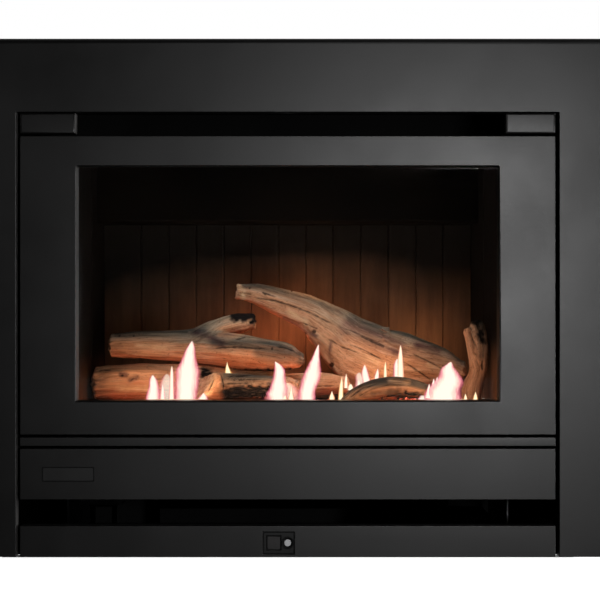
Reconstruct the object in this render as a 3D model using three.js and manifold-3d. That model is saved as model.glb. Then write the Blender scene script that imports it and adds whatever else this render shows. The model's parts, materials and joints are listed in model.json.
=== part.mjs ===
// A built-in gas log fire: a folded steel surround, a glass-fronted firebox with six
// fibre logs on a burner tray, and the convection fan, gas train, controls and balanced
// flue that the casing holds behind its face.
//
// Millimetres. +Z is up, +X is to the right of somebody who faces the fire, and +Y runs
// from the face into the wall. The origin is under the middle of the whole fire, on the
// floor. Inside the fire group, y is the depth behind the face of the surround.

import * as THREE from 'three';
import { mergeVertices } from 'three/addons/utils/BufferGeometryUtils.js';
import Module from 'manifold-3d';

const wasm = await Module();
wasm.setup();

// Sheet metal and fits
const sheet = 2; // steel sheet
const seat = 0.3; // gap between a piece and what it rests on
const overrun = 3; // how far a cutter runs past what it cuts

// Surround
const openingWidth = 761;
const surroundLeg = 101; // width of each leg beside the opening
const surroundBand = 104; // height of the band over the opening
const surroundDepth = 24;
const surroundEdgeRadius = 6;

// Face pieces, from the floor up
const faceGap = 5.5; // beside every face piece, to the surround
const jointGap = 3.5; // between two face pieces, one above the other
const faceEdgeRadius = 3;
const bottomPanelHeight = 43.5;
const intakeHeight = 36.5;
const lowerPanelHeight = 71.5;
const lowerPanelSetback = 1; // leaves room for a thin badge plate within the face
const trimHeight = 12.5;
const doorBottomRail = 47.5;
const doorTopRail = 41.5;
const doorSideRail = 78.5;
const windowHeight = 329.5;
const outletHeight = 33.5; // between the door and the surround
const faceWidth = openingWidth - 2 * faceGap;
const windowWidth = faceWidth - 2 * doorSideRail;
const lowerPanelBase = bottomPanelHeight + intakeHeight;
const trimBase = lowerPanelBase + lowerPanelHeight + jointGap;
const doorBase = trimBase + trimHeight + jointGap;
const doorHeight = doorBottomRail + windowHeight + doorTopRail;
const doorTop = doorBase + doorHeight;
const openingHeight = doorTop + outletHeight;
const surroundWidth = openingWidth + 2 * surroundLeg;
const surroundHeight = openingHeight + surroundBand;

// Glass front
const windowCornerRadius = 3; // top corners only
const windowBase = doorBase + doorBottomRail;
const glassRecess = 34; // from the face of the door to the glass
const glassThickness = 5;
const gasketMargin = 3.5; // from the window's edge to the gasket
const gasketWidth = 9;
const gasketThickness = 9;
const gasketRounding = 2.5;
const glassMargin = 9; // from the gasket to the edge of the glass
const retainerLip = 6;
const retainerFoot = 12;
const retainerSheet = 1.5;
const gasketInset = gasketMargin + gasketWidth;
const glassOverlap = gasketInset + glassMargin;
const glassWidth = windowWidth + 2 * glassOverlap;
const glassHeight = windowHeight + 2 * glassOverlap;
const glassFront = glassRecess + seat;
const glassBack = glassFront + glassThickness;
const gasketFront = glassBack + seat;

// Firebox
const fireboxDepth = 264;
const fireboxFloorRise = 17; // of the floor over the door's lower edge
const fireboxTopDrop = 12.5; // of the top under the door's upper edge
const fireboxSideMargin = 23.5; // from the window's edge to the firebox's side
const fireboxFrameMargin = 36; // from the gasket to the frame's outer edge
const fireboxFrameEdge = 0.5; // frame shown inside the gasket
const fireboxFloor = doorBase + fireboxFloorRise; // upper side of the floor
const fireboxTop = doorTop - fireboxTopDrop;
const fireboxHeight = fireboxTop - fireboxFloor;
const fireboxInnerWidth = windowWidth + 2 * fireboxSideMargin;
const fireboxFront = gasketFront + gasketThickness + seat;
const fireboxInside = fireboxFront + sheet + seat;
const fireboxBack = fireboxInside + fireboxDepth; // front side of the back plate

// Casing
const casingOverlap = 19.5; // behind each leg of the surround
const casingRise = 57; // over the opening
const casingFlange = 50;
const casingRearFlange = 20;
const airBoxDepth = 48.5; // between the firebox and the casing's back panel
const casingWidth = openingWidth + 2 * casingOverlap;
const casingHeight = openingHeight + casingRise;
const casingFront = surroundDepth + seat;
const casingRearPlane = fireboxBack + sheet + airBoxDepth + 2 * seat; // front side of the back panel
const casingBack = casingRearPlane + sheet;
const casingDepth = casingBack - casingFront;

// Baffle hood over the flue
const hoodFace = 68; // from the rear liner to the hood's face
const hoodFaceHeight = 84;
const hoodTopGap = 16.5;
const hoodLip = 6;

// Liners
const linerThickness = 10;
const rearLinerThickness = 12;
const rearLinerGap = 3;
const linerFrontMargin = 7.5; // from the window's edge to a side liner's front edge
const linerInturn = 17; // how far each side liner comes in towards the back
const linerFrontGap = 5;
const sideLinerTopGap = 7;
const grooveWidth = 3;
const grooveDepth = 2.5;
const rearBoardWidth = 43;
const sideGrooveShare = 0.55; // of the side liner's length, from its front edge
const airNotchWidth = 120;
const airNotchHeight = 14;
const linerFrontWidth = windowWidth + 2 * linerFrontMargin;
const linerRearWidth = linerFrontWidth - 2 * linerInturn;
const rearLinerHeight = fireboxHeight - hoodFaceHeight - hoodTopGap;
const sideLinerHeight = fireboxHeight - sideLinerTopGap;
const rearLinerFront = fireboxBack - rearLinerGap - rearLinerThickness;
const sideLinerFront = fireboxInside + linerFrontGap;
const sideLinerBack = rearLinerFront - seat;

// Burner
const burnerSideGap = 3;
const burnerHeight = 18.7;
const burnerRearGap = 8;
const burnerPortRadius = 3;
const burnerPortRows = 2;
const burnerPortsPerRow = 13;
const burnerPortRowGap = 60;
const burnerPortInset = 32; // from the tray's side to the first port
const burnerFrontRow = 9; // from the tray's front edge to the first row
const emberStrip = 54; // from the firebox's front edge to the tray
const emberInset = 14; // from the tray's side to the end of the ember bed
const emberThickness = 4.6;
const emberRipple = 1.8;
const emberColumns = 30;
const emberRows = 4;
const emberWaves = [[2.3, 1.7], [1.1, -2.9]]; // radians to a column and to a row
const burnerWidth = linerRearWidth - 2 * burnerSideGap;
const burnerPortPitch = (burnerWidth - 2 * burnerPortInset) / (burnerPortsPerRow - 1);
const burnerBack = rearLinerFront - burnerRearGap;
const burnerFront = fireboxInside + emberStrip;
const burnerTop = fireboxFloor + seat + burnerHeight;
const emberWidth = burnerWidth - 2 * emberInset;
const emberFront = sideLinerFront;
const emberDepth = burnerFront - seat - emberFront;
const emberTop = fireboxFloor + seat + emberThickness;

// Fibre logs
const logRadiusShare = 0.076; // of the window's height, the usual log's radius
const logSides = 14;
const logRings = 22;
const logEndShare = 0.3; // of the end radius, how far an end bulges
const logRadius = logRadiusShare * windowHeight;

// Air outlet above the door
const leftBlockWidth = 77.5;
const rightBlockWidth = 69.5;
const blockTopGap = 1.5;
const outletSheet = 1.5;
const outletSpread = 60; // how far the roof of the outlet runs back as it rises
const outletLevel = 30;

// Convection fan
const rotorRadius = 30;
const rotorInnerRadius = 22;
const rotorLength = casingWidth / 2;
const rotorBlades = 18;
const bladeThickness = 1.3;
const bladeTurn = 0.42; // radians that a blade leans round from root to tip
const discThickness = 2.5;
const shaftRadius = 4;
const shaftClearance = 0.5;
const endPlateGap = 4;
const scrollClearance = 3;
const scrollGrowth = 18;
const scrollSheet = 1.2;
const scrollStart = THREE.MathUtils.degToRad(18);
const rotorHeight = 75; // axis above the floor
const rotorFromBack = 62; // axis in front of the casing's back panel
const tongueLean = 8;
const motorSide = 62;
const motorStack = 22;
const motorCoil = 8;
const motorNeck = 14;
const rotorDepth = casingRearPlane - rotorFromBack;

// Gas train
const valveWidth = 60;
const valveDepth = 56;
const valveHeight = 52;
const valveFromSide = 130; // from the casing's left side to the valve's middle
const valveFront = 92;
const valveBaseHeight = 62;
const valveBossWall = 4; // of the round bosses, outside the pipe
const valveBossReach = 8;
const testPointRadius = 9.5;
const testPointReach = 6;
const solenoidRadius = 14.5;
const solenoidHeight = 34;
const solenoidNeckShare = 0.7; // of the solenoid's height, up to its narrow top
const gasPipeRadius = 7.5;
const gasPipeWall = 1.5;
const gasPipeReach = 25; // outside the casing
const gasNutWall = 4;
const gasNutLength = 12;
const gasNutFromEnd = 8;
const feedPipeRadius = 5;
const feedBendShare = 0.6; // of the feed pipe's run, the pull of each bend
const injectorRadius = 9;
const injectorLength = 22;
const venturiRadius = 14;
const venturiWall = 1.5;
const venturiLength = 130;
const venturiBend = 40;
const venturiHeight = fireboxFloor - venturiBend;
const pipeFit = 0.8; // round a pipe where a plate carries it
const holeClearance = 3; // round a pipe that only passes through
const electrodeFromFan = 29; // from the fan's right end plate
const electrodeRadius = 3.7;
const electrodeBelow = 20; // under the firebox floor
const electrodeAbove = 14; // over it
const electrodeWireRadius = 1.2;
const electrodeTip = 8; // over the burner tray
const valveOffset = casingWidth / 2 - valveFromSide; // left of the middle
const electrodeOffset = rotorLength / 2 + endPlateGap + sheet + electrodeFromFan; // right of the middle

// Controls
const switchWidth = 45;
const switchOffset = 12.5; // left of the middle
const switchBase = 3.5;
const switchTopGap = 8; // to the bottom panel's upper edge
const switchHeight = bottomPanelHeight - switchBase - switchTopGap;
const switchRecess = 1.5;
const switchBodyDepth = 14;
const switchEdgeRadius = 1.2;
const windowSide = 20;
const receiverOffset = 7;
const receiverDepth = 4;
const buttonOffset = 12.5; // right of the switch plate's middle
const buttonRadius = 4.8;
const buttonTravel = 1.5;
const buttonLength = 8;
const buttonClearance = 0.4;
const controlBoxWidth = 170;
const controlBoxDepth = 120;
const controlBoxHeight = 46;
const controlBoxFromSide = 195; // from the casing's right side to the box's middle
const controlBoxFront = 72;
const controlBoxLid = 3;
const controlBoxOffset = casingWidth / 2 - controlBoxFromSide;
const glandRadius = 9;
const glandBore = 4;
const glandRim = 4; // of the flange outside the body
const glandTail = 12; // inside the casing
const glandRimLength = 6;
const glandHeadLength = 8;
const glandFromBack = 60;
const glandHeight = 60;

// Spring tabs that hold the lower panel and the glass front
const tabSheet = 1.5;
const tabFoot = 16;
const tabReach = 17;
const tabHeight = 18;

// Balanced flue
const flueRadius = 30;
const flueWall = 1.5;
const collarRadius = 50;
const collarFlange = 15;
const flueDrop = 47; // of the flue's axis under the firebox top
const flueReach = 44; // behind the casing
const collarSetback = 8; // the outer collar ends before the inner pipe
const airBoxWidth = 150;
const airBoxRise = 20; // over the collar
const airSlotHeight = 12;
const flueHeight = fireboxTop - flueDrop;
const airBoxTop = flueHeight + collarRadius + airBoxRise;

// Supports under the firebox
const supportFlange = 14;
const supportInset = 4;
const supportFront = 60;
const supportDepth = 240;

const overallDepth = casingBack + flueReach;

// Materials
const matt = (color, roughness, metalness) => new THREE.MeshStandardMaterial({ color, roughness, metalness });
const finishes = {
  blackPaint: matt(0x2b2b2c, 0.5, 0.3),
  darkPaint: matt(0x1a1a1b, 0.6, 0.2),
  galvanised: matt(0x9a9c9d, 0.45, 0.8),
  heatSteel: matt(0x3a3532, 0.6, 0.6),
  liner: matt(0x6a4f3f, 0.9, 0),
  logs: matt(0xa57b5c, 0.95, 0),
  ember: matt(0x3a2520, 1, 0),
  glass: new THREE.MeshStandardMaterial({
    color: 0x222222, roughness: 0.05, transparent: true, opacity: 0.3,
  }),
  gasket: matt(0xb9b4a8, 0.95, 0),
  plastic: matt(0x141415, 0.4, 0),
  silver: matt(0xb8b8b8, 0.3, 0.7),
  brass: matt(0xb08d45, 0.35, 0.9),
  castAluminium: matt(0xa8a9ab, 0.5, 0.8),
  ceramic: matt(0xe6e2d8, 0.6, 0),
};

// Solids: a closed geometry goes in, a closed geometry comes back.
function solidOf(geometry) {
  const plain = geometry.index ? geometry.toNonIndexed() : geometry.clone();
  for (const name of Object.keys(plain.attributes)) {
    if (name !== 'position') plain.deleteAttribute(name);
  }
  const merged = mergeVertices(plain);
  return new wasm.Manifold(new wasm.Mesh({
    numProp: 3,
    vertProperties: merged.attributes.position.array,
    triVerts: new Uint32Array(merged.index.array),
  }));
}

function geometryOf(solid) {
  const mesh = solid.getMesh();
  const geometry = new THREE.BufferGeometry();
  geometry.setAttribute('position', new THREE.BufferAttribute(mesh.vertProperties, mesh.numProp));
  geometry.setIndex(new THREE.BufferAttribute(mesh.triVerts, 1));
  return geometry.toNonIndexed();
}

const cut = (base, ...tools) => geometryOf(tools.reduce((s, t) => s.subtract(solidOf(t)), solidOf(base)));
const join = (base, ...more) => geometryOf(more.reduce((s, t) => s.add(solidOf(t)), solidOf(base)));
const common = (a, b) => geometryOf(solidOf(a).intersect(solidOf(b)));

// A box between two corners.
function block([x0, y0, z0], [x1, y1, z1]) {
  const box = new THREE.BoxGeometry(x1 - x0, y1 - y0, z1 - z0);
  return box.translate((x0 + x1) / 2, (y0 + y1) / 2, (z0 + z1) / 2);
}

// A rectangle from its lower left corner, with the top corners rounded if a radius is given.
function rectangle(x, y, width, height, radius = 0, Kind = THREE.Shape) {
  const outline = new Kind();
  outline.moveTo(x, y);
  outline.lineTo(x + width, y);
  if (!radius) {
    outline.lineTo(x + width, y + height);
    outline.lineTo(x, y + height);
  } else {
    outline.absarc(x + width - radius, y + height - radius, radius, 0, Math.PI / 2);
    outline.absarc(x + radius, y + height - radius, radius, Math.PI / 2, Math.PI);
  }
  outline.closePath();
  return outline;
}

function polygon(points) {
  const outline = new THREE.Shape();
  points.forEach(([a, b], i) => (i ? outline.lineTo(a, b) : outline.moveTo(a, b)));
  outline.closePath();
  return outline;
}

// A strip of sheet that follows a line of points, thickness to the left of its run.
function strip(points, thickness) {
  const line = points.map(([a, b]) => new THREE.Vector2(a, b));
  const offset = line.map((p, i) => {
    const before = line[Math.max(i - 1, 0)];
    const after = line[Math.min(i + 1, line.length - 1)];
    const into = p.clone().sub(before).normalize();
    const out = after.clone().sub(p).normalize();
    if (i === 0) into.copy(out);
    if (i === line.length - 1) out.copy(into);
    const bisector = into.clone().add(out).normalize();
    const across = new THREE.Vector2(-bisector.y, bisector.x);
    const stretch = 1 / Math.max(bisector.dot(out), 0.5);
    return p.clone().addScaledVector(across, thickness * stretch);
  });
  return polygon([...line, ...offset.reverse()].map((p) => [p.x, p.y]));
}

const extruded = (shape, length, bevel = 0, segments = 2) => new THREE.ExtrudeGeometry(shape, {
  depth: length - 2 * bevel,
  bevelEnabled: bevel > 0,
  bevelThickness: bevel,
  bevelSize: bevel,
  bevelOffset: -bevel,
  bevelSegments: segments,
  curveSegments: 6,
}).translate(0, 0, bevel);

// An outline in x and z, run back from y = 0.
const alongY = (shape, length, bevel = 0, segments = 2) => extruded(shape, length, bevel, segments)
  .rotateX(Math.PI / 2)
  .translate(0, length, 0);

// An outline in y and z, run to both sides of x = 0.
function alongX(shape, length) {
  const turned = new THREE.Matrix4().makeBasis(
    new THREE.Vector3(0, 1, 0),
    new THREE.Vector3(0, 0, 1),
    new THREE.Vector3(1, 0, 0),
  );
  return extruded(shape, length).applyMatrix4(turned).translate(-length / 2, 0, 0);
}

// A turned piece about the y axis, from [radius, y] pairs that start and end on the axis.
const turnedY = (profile, segments = 24) => new THREE.LatheGeometry(
  profile.map(([r, y]) => new THREE.Vector2(r, y)), segments,
);

// A turned piece about the x axis.
const turnedX = (profile, segments = 24) => turnedY(profile, segments).rotateZ(-Math.PI / 2);

// Cylinders between two places on their axis
const post = (radius, from, to) => [[0, from], [radius, from], [radius, to], [0, to]];
const cylinderY = (radius, y0, y1, segments = 24) => turnedY(post(radius, y0, y1), segments);
const cylinderX = (radius, x0, x1, segments = 24) => turnedX(post(radius, x0, x1), segments);
const cylinderZ = (radius, z0, z1, segments = 24) => cylinderY(radius, z0, z1, segments)
  .rotateX(Math.PI / 2);

// A round pipe along a curve.
function pipe(curve, radius, steps, sides, boreRadius = 0) {
  const section = new THREE.Shape();
  section.absarc(0, 0, radius, 0, 2 * Math.PI);
  if (boreRadius) {
    const bore = new THREE.Path();
    bore.absarc(0, 0, boreRadius, 0, 2 * Math.PI);
    section.holes.push(bore);
  }
  return new THREE.ExtrudeGeometry(section, {
    steps, bevelEnabled: false, extrudePath: curve, curveSegments: sides,
  });
}

const fire = new THREE.Group();
fire.position.y = -overallDepth / 2;

function add(parent, name, geometry, finish, x = 0, y = 0, z = 0) {
  const mesh = new THREE.Mesh(geometry, finishes[finish]);
  mesh.name = name;
  mesh.position.set(x, y, z);
  parent.add(mesh);
  return mesh;
}

function group(parent, x = 0, y = 0, z = 0) {
  const made = new THREE.Group();
  made.position.set(x, y, z);
  parent.add(made);
  return made;
}

// A folded tray: rounded front edges, a return on all four sides, open at the back.
// Its origin is at the bottom of its face, in the middle.
function faceTray(width, height, depth) {
  const outer = alongY(rectangle(-width / 2, 0, width, height), depth + faceEdgeRadius, faceEdgeRadius);
  const hollow = block(
    [-width / 2 + sheet, sheet, sheet],
    [width / 2 - sheet, depth + faceEdgeRadius + overrun, height - sheet],
  );
  const rear = block(
    [-width / 2 - overrun, depth, -overrun],
    [width / 2 + overrun, depth + faceEdgeRadius + overrun, height + overrun],
  );
  return cut(outer, hollow, rear);
}

// Surround: a folded frame of three sides that stands on the floor.
function surroundGeometry() {
  const legs = (widthOut, heightOut, widthIn, heightIn, foot) => polygon([
    [-widthOut / 2, foot],
    [-widthIn / 2, foot],
    [-widthIn / 2, heightIn],
    [widthIn / 2, heightIn],
    [widthIn / 2, foot],
    [widthOut / 2, foot],
    [widthOut / 2, heightOut],
    [-widthOut / 2, heightOut],
  ]);
  const length = surroundDepth + surroundEdgeRadius;
  const outer = alongY(
    legs(surroundWidth, surroundHeight, openingWidth, openingHeight, -length),
    length, surroundEdgeRadius, 3,
  );
  const hollow = alongY(
    legs(
      surroundWidth - 2 * sheet, surroundHeight - sheet,
      openingWidth + 2 * sheet, openingHeight + sheet, sheet,
    ),
    length,
  ).translate(0, sheet, 0);
  const rear = block(
    [-surroundWidth, surroundDepth, -surroundHeight],
    [surroundWidth, surroundDepth + length, 2 * surroundHeight],
  );
  const below = block(
    [-surroundWidth, -overrun, -surroundHeight],
    [surroundWidth, length + overrun, 0],
  );
  return cut(outer, hollow, rear, below);
}
add(fire, 'surround', surroundGeometry(), 'blackPaint');

// Face pieces below the door
for (const [name, height, base, setback] of [
  ['trim_strip', trimHeight, trimBase, 0],
  ['lower_panel', lowerPanelHeight, lowerPanelBase, lowerPanelSetback],
]) {
  add(fire, name, faceTray(faceWidth, height, surroundDepth - setback), 'blackPaint', 0, setback, base);
}

function bottomPanelGeometry() {
  const window = block(
    [-switchOffset - switchWidth / 2, -overrun, switchBase],
    [-switchOffset + switchWidth / 2, sheet + overrun, switchBase + switchHeight],
  );
  return cut(faceTray(faceWidth, bottomPanelHeight, surroundDepth), window);
}
add(fire, 'bottom_panel', bottomPanelGeometry(), 'blackPaint');

// Switch plate in the bottom panel, with a receiver window and a push button
const switchGroup = group(fire, -switchOffset, switchRecess, switchBase + switchHeight / 2);

function switchPlateGeometry() {
  const width = switchWidth - 2 * seat;
  const height = switchHeight - 2 * seat;
  const plate = alongY(rectangle(-width / 2, -height / 2, width, height), switchBodyDepth, switchEdgeRadius);
  const receiver = block(
    [-receiverOffset - windowSide / 2 - seat, -overrun, -windowSide / 2 - seat],
    [-receiverOffset + windowSide / 2 + seat, receiverDepth + seat, windowSide / 2 + seat],
  );
  const bore = cylinderY(buttonRadius + buttonClearance, -overrun, buttonLength + buttonTravel + seat)
    .translate(buttonOffset, 0, 0);
  return cut(plate, receiver, bore);
}
add(switchGroup, 'switch_plate', switchPlateGeometry(), 'plastic');
add(switchGroup, 'receiver_window', alongY(
  rectangle(-windowSide / 2, -windowSide / 2, windowSide, windowSide), receiverDepth - seat, seat, 1,
), 'plastic', -receiverOffset, seat);
add(switchGroup, 'power_button', turnedY([
  [0, 0], [buttonRadius - seat, 0], [buttonRadius, seat],
  [buttonRadius, buttonLength], [0, buttonLength],
]), 'silver', buttonOffset, -seat);

// Glass front
const door = group(fire, 0, 0, doorBase);
const windowX = windowWidth / 2;

function doorFrameGeometry() {
  const outline = rectangle(-faceWidth / 2, 0, faceWidth, doorHeight);
  outline.holes.push(rectangle(
    -windowX, doorBottomRail, windowWidth, windowHeight, windowCornerRadius, THREE.Path,
  ));
  const length = glassRecess + faceEdgeRadius;
  const outer = alongY(outline, length, faceEdgeRadius);
  const collar = (grow, from) => block(
    [-windowX - grow, from, doorBottomRail - grow],
    [windowX + grow, length + overrun, doorBottomRail + windowHeight + grow],
  );
  const hollow = cut(block(
    [-faceWidth / 2 + sheet, sheet, sheet],
    [faceWidth / 2 - sheet, length + overrun, doorHeight - sheet],
  ), collar(sheet, 0));
  const behindRim = cut(block(
    [-faceWidth, surroundDepth, -doorHeight],
    [faceWidth, length + overrun, 2 * doorHeight],
  ), collar(sheet, 0));
  const behindGlass = block(
    [-faceWidth, glassRecess, -doorHeight],
    [faceWidth, length + overrun, 2 * doorHeight],
  );
  return cut(outer, hollow, behindRim, behindGlass);
}
add(door, 'door_frame', doorFrameGeometry(), 'blackPaint');

const windowMiddle = doorBottomRail + windowHeight / 2;
add(door, 'glass_pane', alongY(
  rectangle(-glassWidth / 2, -glassHeight / 2, glassWidth, glassHeight), glassThickness, seat, 1,
), 'glass', 0, glassFront, windowMiddle);

function ringShape(innerWidth, innerHeight, band) {
  const outline = rectangle(
    -innerWidth / 2 - band, -innerHeight / 2 - band, innerWidth + 2 * band, innerHeight + 2 * band,
  );
  outline.holes.push(rectangle(-innerWidth / 2, -innerHeight / 2, innerWidth, innerHeight, 0, THREE.Path));
  return outline;
}
add(door, 'glass_gasket', alongY(
  ringShape(windowWidth + 2 * gasketMargin, windowHeight + 2 * gasketMargin, gasketWidth),
  gasketThickness, gasketRounding,
), 'gasket', 0, gasketFront, windowMiddle);

// A Z-shaped strip holds each edge of the glass to the back of the frame.
function retainerGeometry(length) {
  const back = glassBack + seat;
  const front = sheet + seat;
  const profile = strip([
    [-retainerLip, back],
    [seat, back],
    [seat, front],
    [seat + retainerFoot, front],
  ], retainerSheet);
  return extruded(profile, length).translate(0, 0, -length / 2);
}
const retainerGap = retainerFoot + retainerSheet + 2 * seat;
for (const [side, turn, reach, length] of [
  ['right', 0, glassWidth / 2, glassHeight],
  ['top', -Math.PI / 2, glassHeight / 2, glassWidth],
  ['left', Math.PI, glassWidth / 2, glassHeight],
  ['bottom', Math.PI / 2, glassHeight / 2, glassWidth],
]) {
  const retainer = retainerGeometry(length - 2 * retainerGap).translate(reach, 0, 0).rotateY(turn);
  add(door, `glass_retainer_${side}`, retainer, 'galvanised', 0, 0, windowMiddle);
}

// Air outlet: a block at each end of the slot, and the sheets that lead the air to it
const blockHeight = outletHeight - blockTopGap - jointGap;
for (const [side, sign, width] of [['left', -1, leftBlockWidth], ['right', 1, rightBlockWidth]]) {
  add(fire, `outlet_block_${side}`, faceTray(width, blockHeight, surroundDepth), 'blackPaint',
    sign * (faceWidth - width) / 2, 0, doorTop + jointGap);
}
const outletWidth = casingWidth - 2 * (sheet + seat);
const outletStart = casingFront + sheet + seat;
add(fire, 'outlet_roof', alongX(strip([
  [outletStart, openingHeight + sheet],
  [outletStart + outletLevel, openingHeight + sheet],
  [outletStart + outletLevel + outletSpread, casingHeight - sheet - seat - outletSheet],
  [outletStart + outletLevel + 2 * outletSpread, casingHeight - sheet - seat - outletSheet],
], outletSheet), outletWidth), 'darkPaint');
add(fire, 'outlet_floor', alongX(strip([
  [outletStart, doorTop - sheet],
  [fireboxFront + sheet + seat, doorTop - sheet],
  [fireboxFront + sheet + seat, fireboxTop + sheet + seat],
  [fireboxFront + sheet + outletLevel, fireboxTop + sheet + seat],
], outletSheet), outletWidth), 'darkPaint');

// Casing. Each side is folded in at the front and back, and has spring tabs on its front
// flange that press against the side returns of the lower panel and the glass front.
const casingBase = sheet + seat;
function rightSideGeometry() {
  const profile = strip([
    [-casingFlange, 0],
    [0, 0],
    [0, casingDepth - sheet - seat],
    [-casingRearFlange, casingDepth - sheet - seat],
  ], sheet);
  const side = extruded(profile, casingHeight - 2 * casingBase)
    .translate(casingWidth / 2, casingFront, casingBase);
  const tabOuter = faceWidth / 2 - sheet - seat;
  const tabs = [lowerPanelBase + lowerPanelHeight / 2, doorBase + doorHeight / 2].map((middle) => {
    const tab = strip([[-tabFoot, 0], [0, 0], [0, -tabReach]], -tabSheet);
    return extruded(tab, tabHeight).translate(tabOuter, casingFront + sheet / 2, middle - tabHeight / 2);
  });
  return join(side, ...tabs);
}
const gasInlet = { y: valveFront + valveDepth / 2, z: valveBaseHeight + valveHeight / 2 };
const gland = { y: casingRearPlane - glandFromBack, z: glandHeight };
{
  const reach = casingWidth / 2 + overrun;
  const inner = casingWidth / 2 - sheet - overrun;
  const gasHole = cylinderX(gasPipeRadius + pipeFit, -reach, -inner, 16).translate(0, gasInlet.y, gasInlet.z);
  const glandHole = cylinderX(glandRadius + seat, inner, reach, 16).translate(0, gland.y, gland.z);
  add(fire, 'casing_left', cut(mirrored(rightSideGeometry()), gasHole), 'galvanised');
  add(fire, 'casing_right', cut(rightSideGeometry(), glandHole), 'galvanised');
}

// A left-hand copy of a right-hand piece, with its faces turned back to point outwards.
function mirrored(geometry) {
  const plain = (geometry.index ? geometry.toNonIndexed() : geometry).scale(-1, 1, 1);
  const p = plain.attributes.position;
  for (let i = 0; i < p.count; i += 3) {
    const a = [p.getX(i), p.getY(i), p.getZ(i)];
    p.setXYZ(i, p.getX(i + 1), p.getY(i + 1), p.getZ(i + 1));
    p.setXYZ(i + 1, ...a);
  }
  return plain;
}

add(fire, 'casing_base', block(
  [-casingWidth / 2, casingFront, 0], [casingWidth / 2, casingRearPlane - seat, sheet],
), 'galvanised');
add(fire, 'casing_top', block(
  [-casingWidth / 2, casingFront, casingHeight - sheet],
  [casingWidth / 2, casingRearPlane - seat, casingHeight],
), 'galvanised');
add(fire, 'casing_back', cut(
  block([-casingWidth / 2, casingRearPlane, 0], [casingWidth / 2, casingBack, casingHeight]),
  cylinderY(collarRadius + seat, casingRearPlane - overrun, casingBack + overrun, 32)
    .translate(0, 0, flueHeight),
), 'galvanised');

// Firebox
const fireboxHalf = fireboxInnerWidth / 2;
const fireboxPlates = group(fire);
{
  const opening = ringShape(
    windowWidth + 2 * (gasketMargin - fireboxFrameEdge),
    windowHeight + 2 * (gasketMargin - fireboxFrameEdge),
    gasketWidth + fireboxFrameMargin + fireboxFrameEdge,
  );
  const frame = alongY(opening, sheet).translate(0, fireboxFront, windowBase + windowHeight / 2);
  add(fireboxPlates, 'firebox_front_frame', cut(frame, block(
    [-faceWidth, 0, doorTop - 2 * sheet - seat], [faceWidth, fireboxInside + overrun, casingHeight],
  )), 'heatSteel');
}
const electrode = { x: electrodeOffset, y: burnerBack + burnerRearGap / 2 };
{
  const plate = block(
    [-fireboxHalf - sheet, fireboxInside, fireboxFloor - sheet],
    [fireboxHalf + sheet, fireboxBack + sheet, fireboxFloor],
  );
  const hole = (radius, x, y) => cylinderZ(radius, fireboxFloor - sheet - overrun, fireboxFloor + overrun, 16)
    .translate(x, y, 0);
  add(fireboxPlates, 'firebox_floor', cut(
    plate,
    hole(venturiRadius + pipeFit, 0, (burnerFront + burnerBack) / 2),
    hole(electrodeRadius + seat, electrode.x, electrode.y),
  ), 'heatSteel');
}
add(fireboxPlates, 'firebox_top', block(
  [-fireboxHalf - sheet, fireboxInside, fireboxTop],
  [fireboxHalf + sheet, fireboxBack + sheet, fireboxTop + sheet],
), 'heatSteel');
for (const [side, x] of [['left', -fireboxHalf - sheet], ['right', fireboxHalf]]) {
  add(fireboxPlates, `firebox_${side}`, block(
    [x, fireboxInside, fireboxFloor + seat], [x + sheet, fireboxBack - seat, fireboxTop - seat],
  ), 'heatSteel');
}
add(fireboxPlates, 'firebox_back', cut(
  block(
    [-fireboxHalf - sheet, fireboxBack, fireboxFloor + seat],
    [fireboxHalf + sheet, fireboxBack + sheet, fireboxTop - seat],
  ),
  cylinderY(flueRadius + seat, fireboxBack - overrun, fireboxBack + sheet + overrun, 32)
    .translate(0, 0, flueHeight),
  block(
    [-airNotchWidth / 2, fireboxBack - overrun, fireboxFloor + sheet],
    [airNotchWidth / 2, fireboxBack + sheet + overrun, fireboxFloor + sheet + airSlotHeight],
  ),
), 'heatSteel');

// Liners: grooved fibre boards
function groovedBoard(width, thickness, height, grooves) {
  const points = [[-width / 2, 0]];
  for (const x of grooves) {
    points.push([x - grooveWidth / 2, 0], [x, grooveDepth], [x + grooveWidth / 2, 0]);
  }
  points.push([width / 2, 0], [width / 2, thickness], [-width / 2, thickness]);
  return extruded(polygon(points), height);
}
{
  const width = linerRearWidth - 2 * seat;
  const count = Math.floor(width / rearBoardWidth);
  const grooves = [];
  for (let i = 1; i < count; i += 1) grooves.push(width / 2 - i * rearBoardWidth);
  const board = groovedBoard(width, rearLinerThickness, rearLinerHeight, grooves.reverse());
  const notch = block(
    [-airNotchWidth / 2, -overrun, -overrun],
    [airNotchWidth / 2, rearLinerThickness + overrun, airNotchHeight],
  );
  add(fire, 'rear_liner', cut(board, notch), 'liner', 0, rearLinerFront, fireboxFloor + seat);
}
const sideLinerLength = sideLinerBack - sideLinerFront;
const splay = Math.atan2((linerFrontWidth - linerRearWidth) / 2, sideLinerLength);
function sideLinerShape(sign) {
  const run = (share) => linerFrontWidth / 2 + share * (linerRearWidth - linerFrontWidth) / 2;
  const y = (share) => sideLinerFront + share * sideLinerLength;
  const halfGroove = grooveWidth / sideLinerLength / 2;
  const points = [
    [run(0), y(0)],
    [run(0) + linerThickness, y(0)],
    [run(1) + linerThickness, y(1)],
    [run(1), y(1)],
    [run(sideGrooveShare + halfGroove), y(sideGrooveShare + halfGroove)],
    [run(sideGrooveShare) + grooveDepth, y(sideGrooveShare)],
    [run(sideGrooveShare - halfGroove), y(sideGrooveShare - halfGroove)],
  ].map(([a, b]) => [sign * a, b]);
  return polygon(sign > 0 ? points : points.reverse());
}
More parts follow.
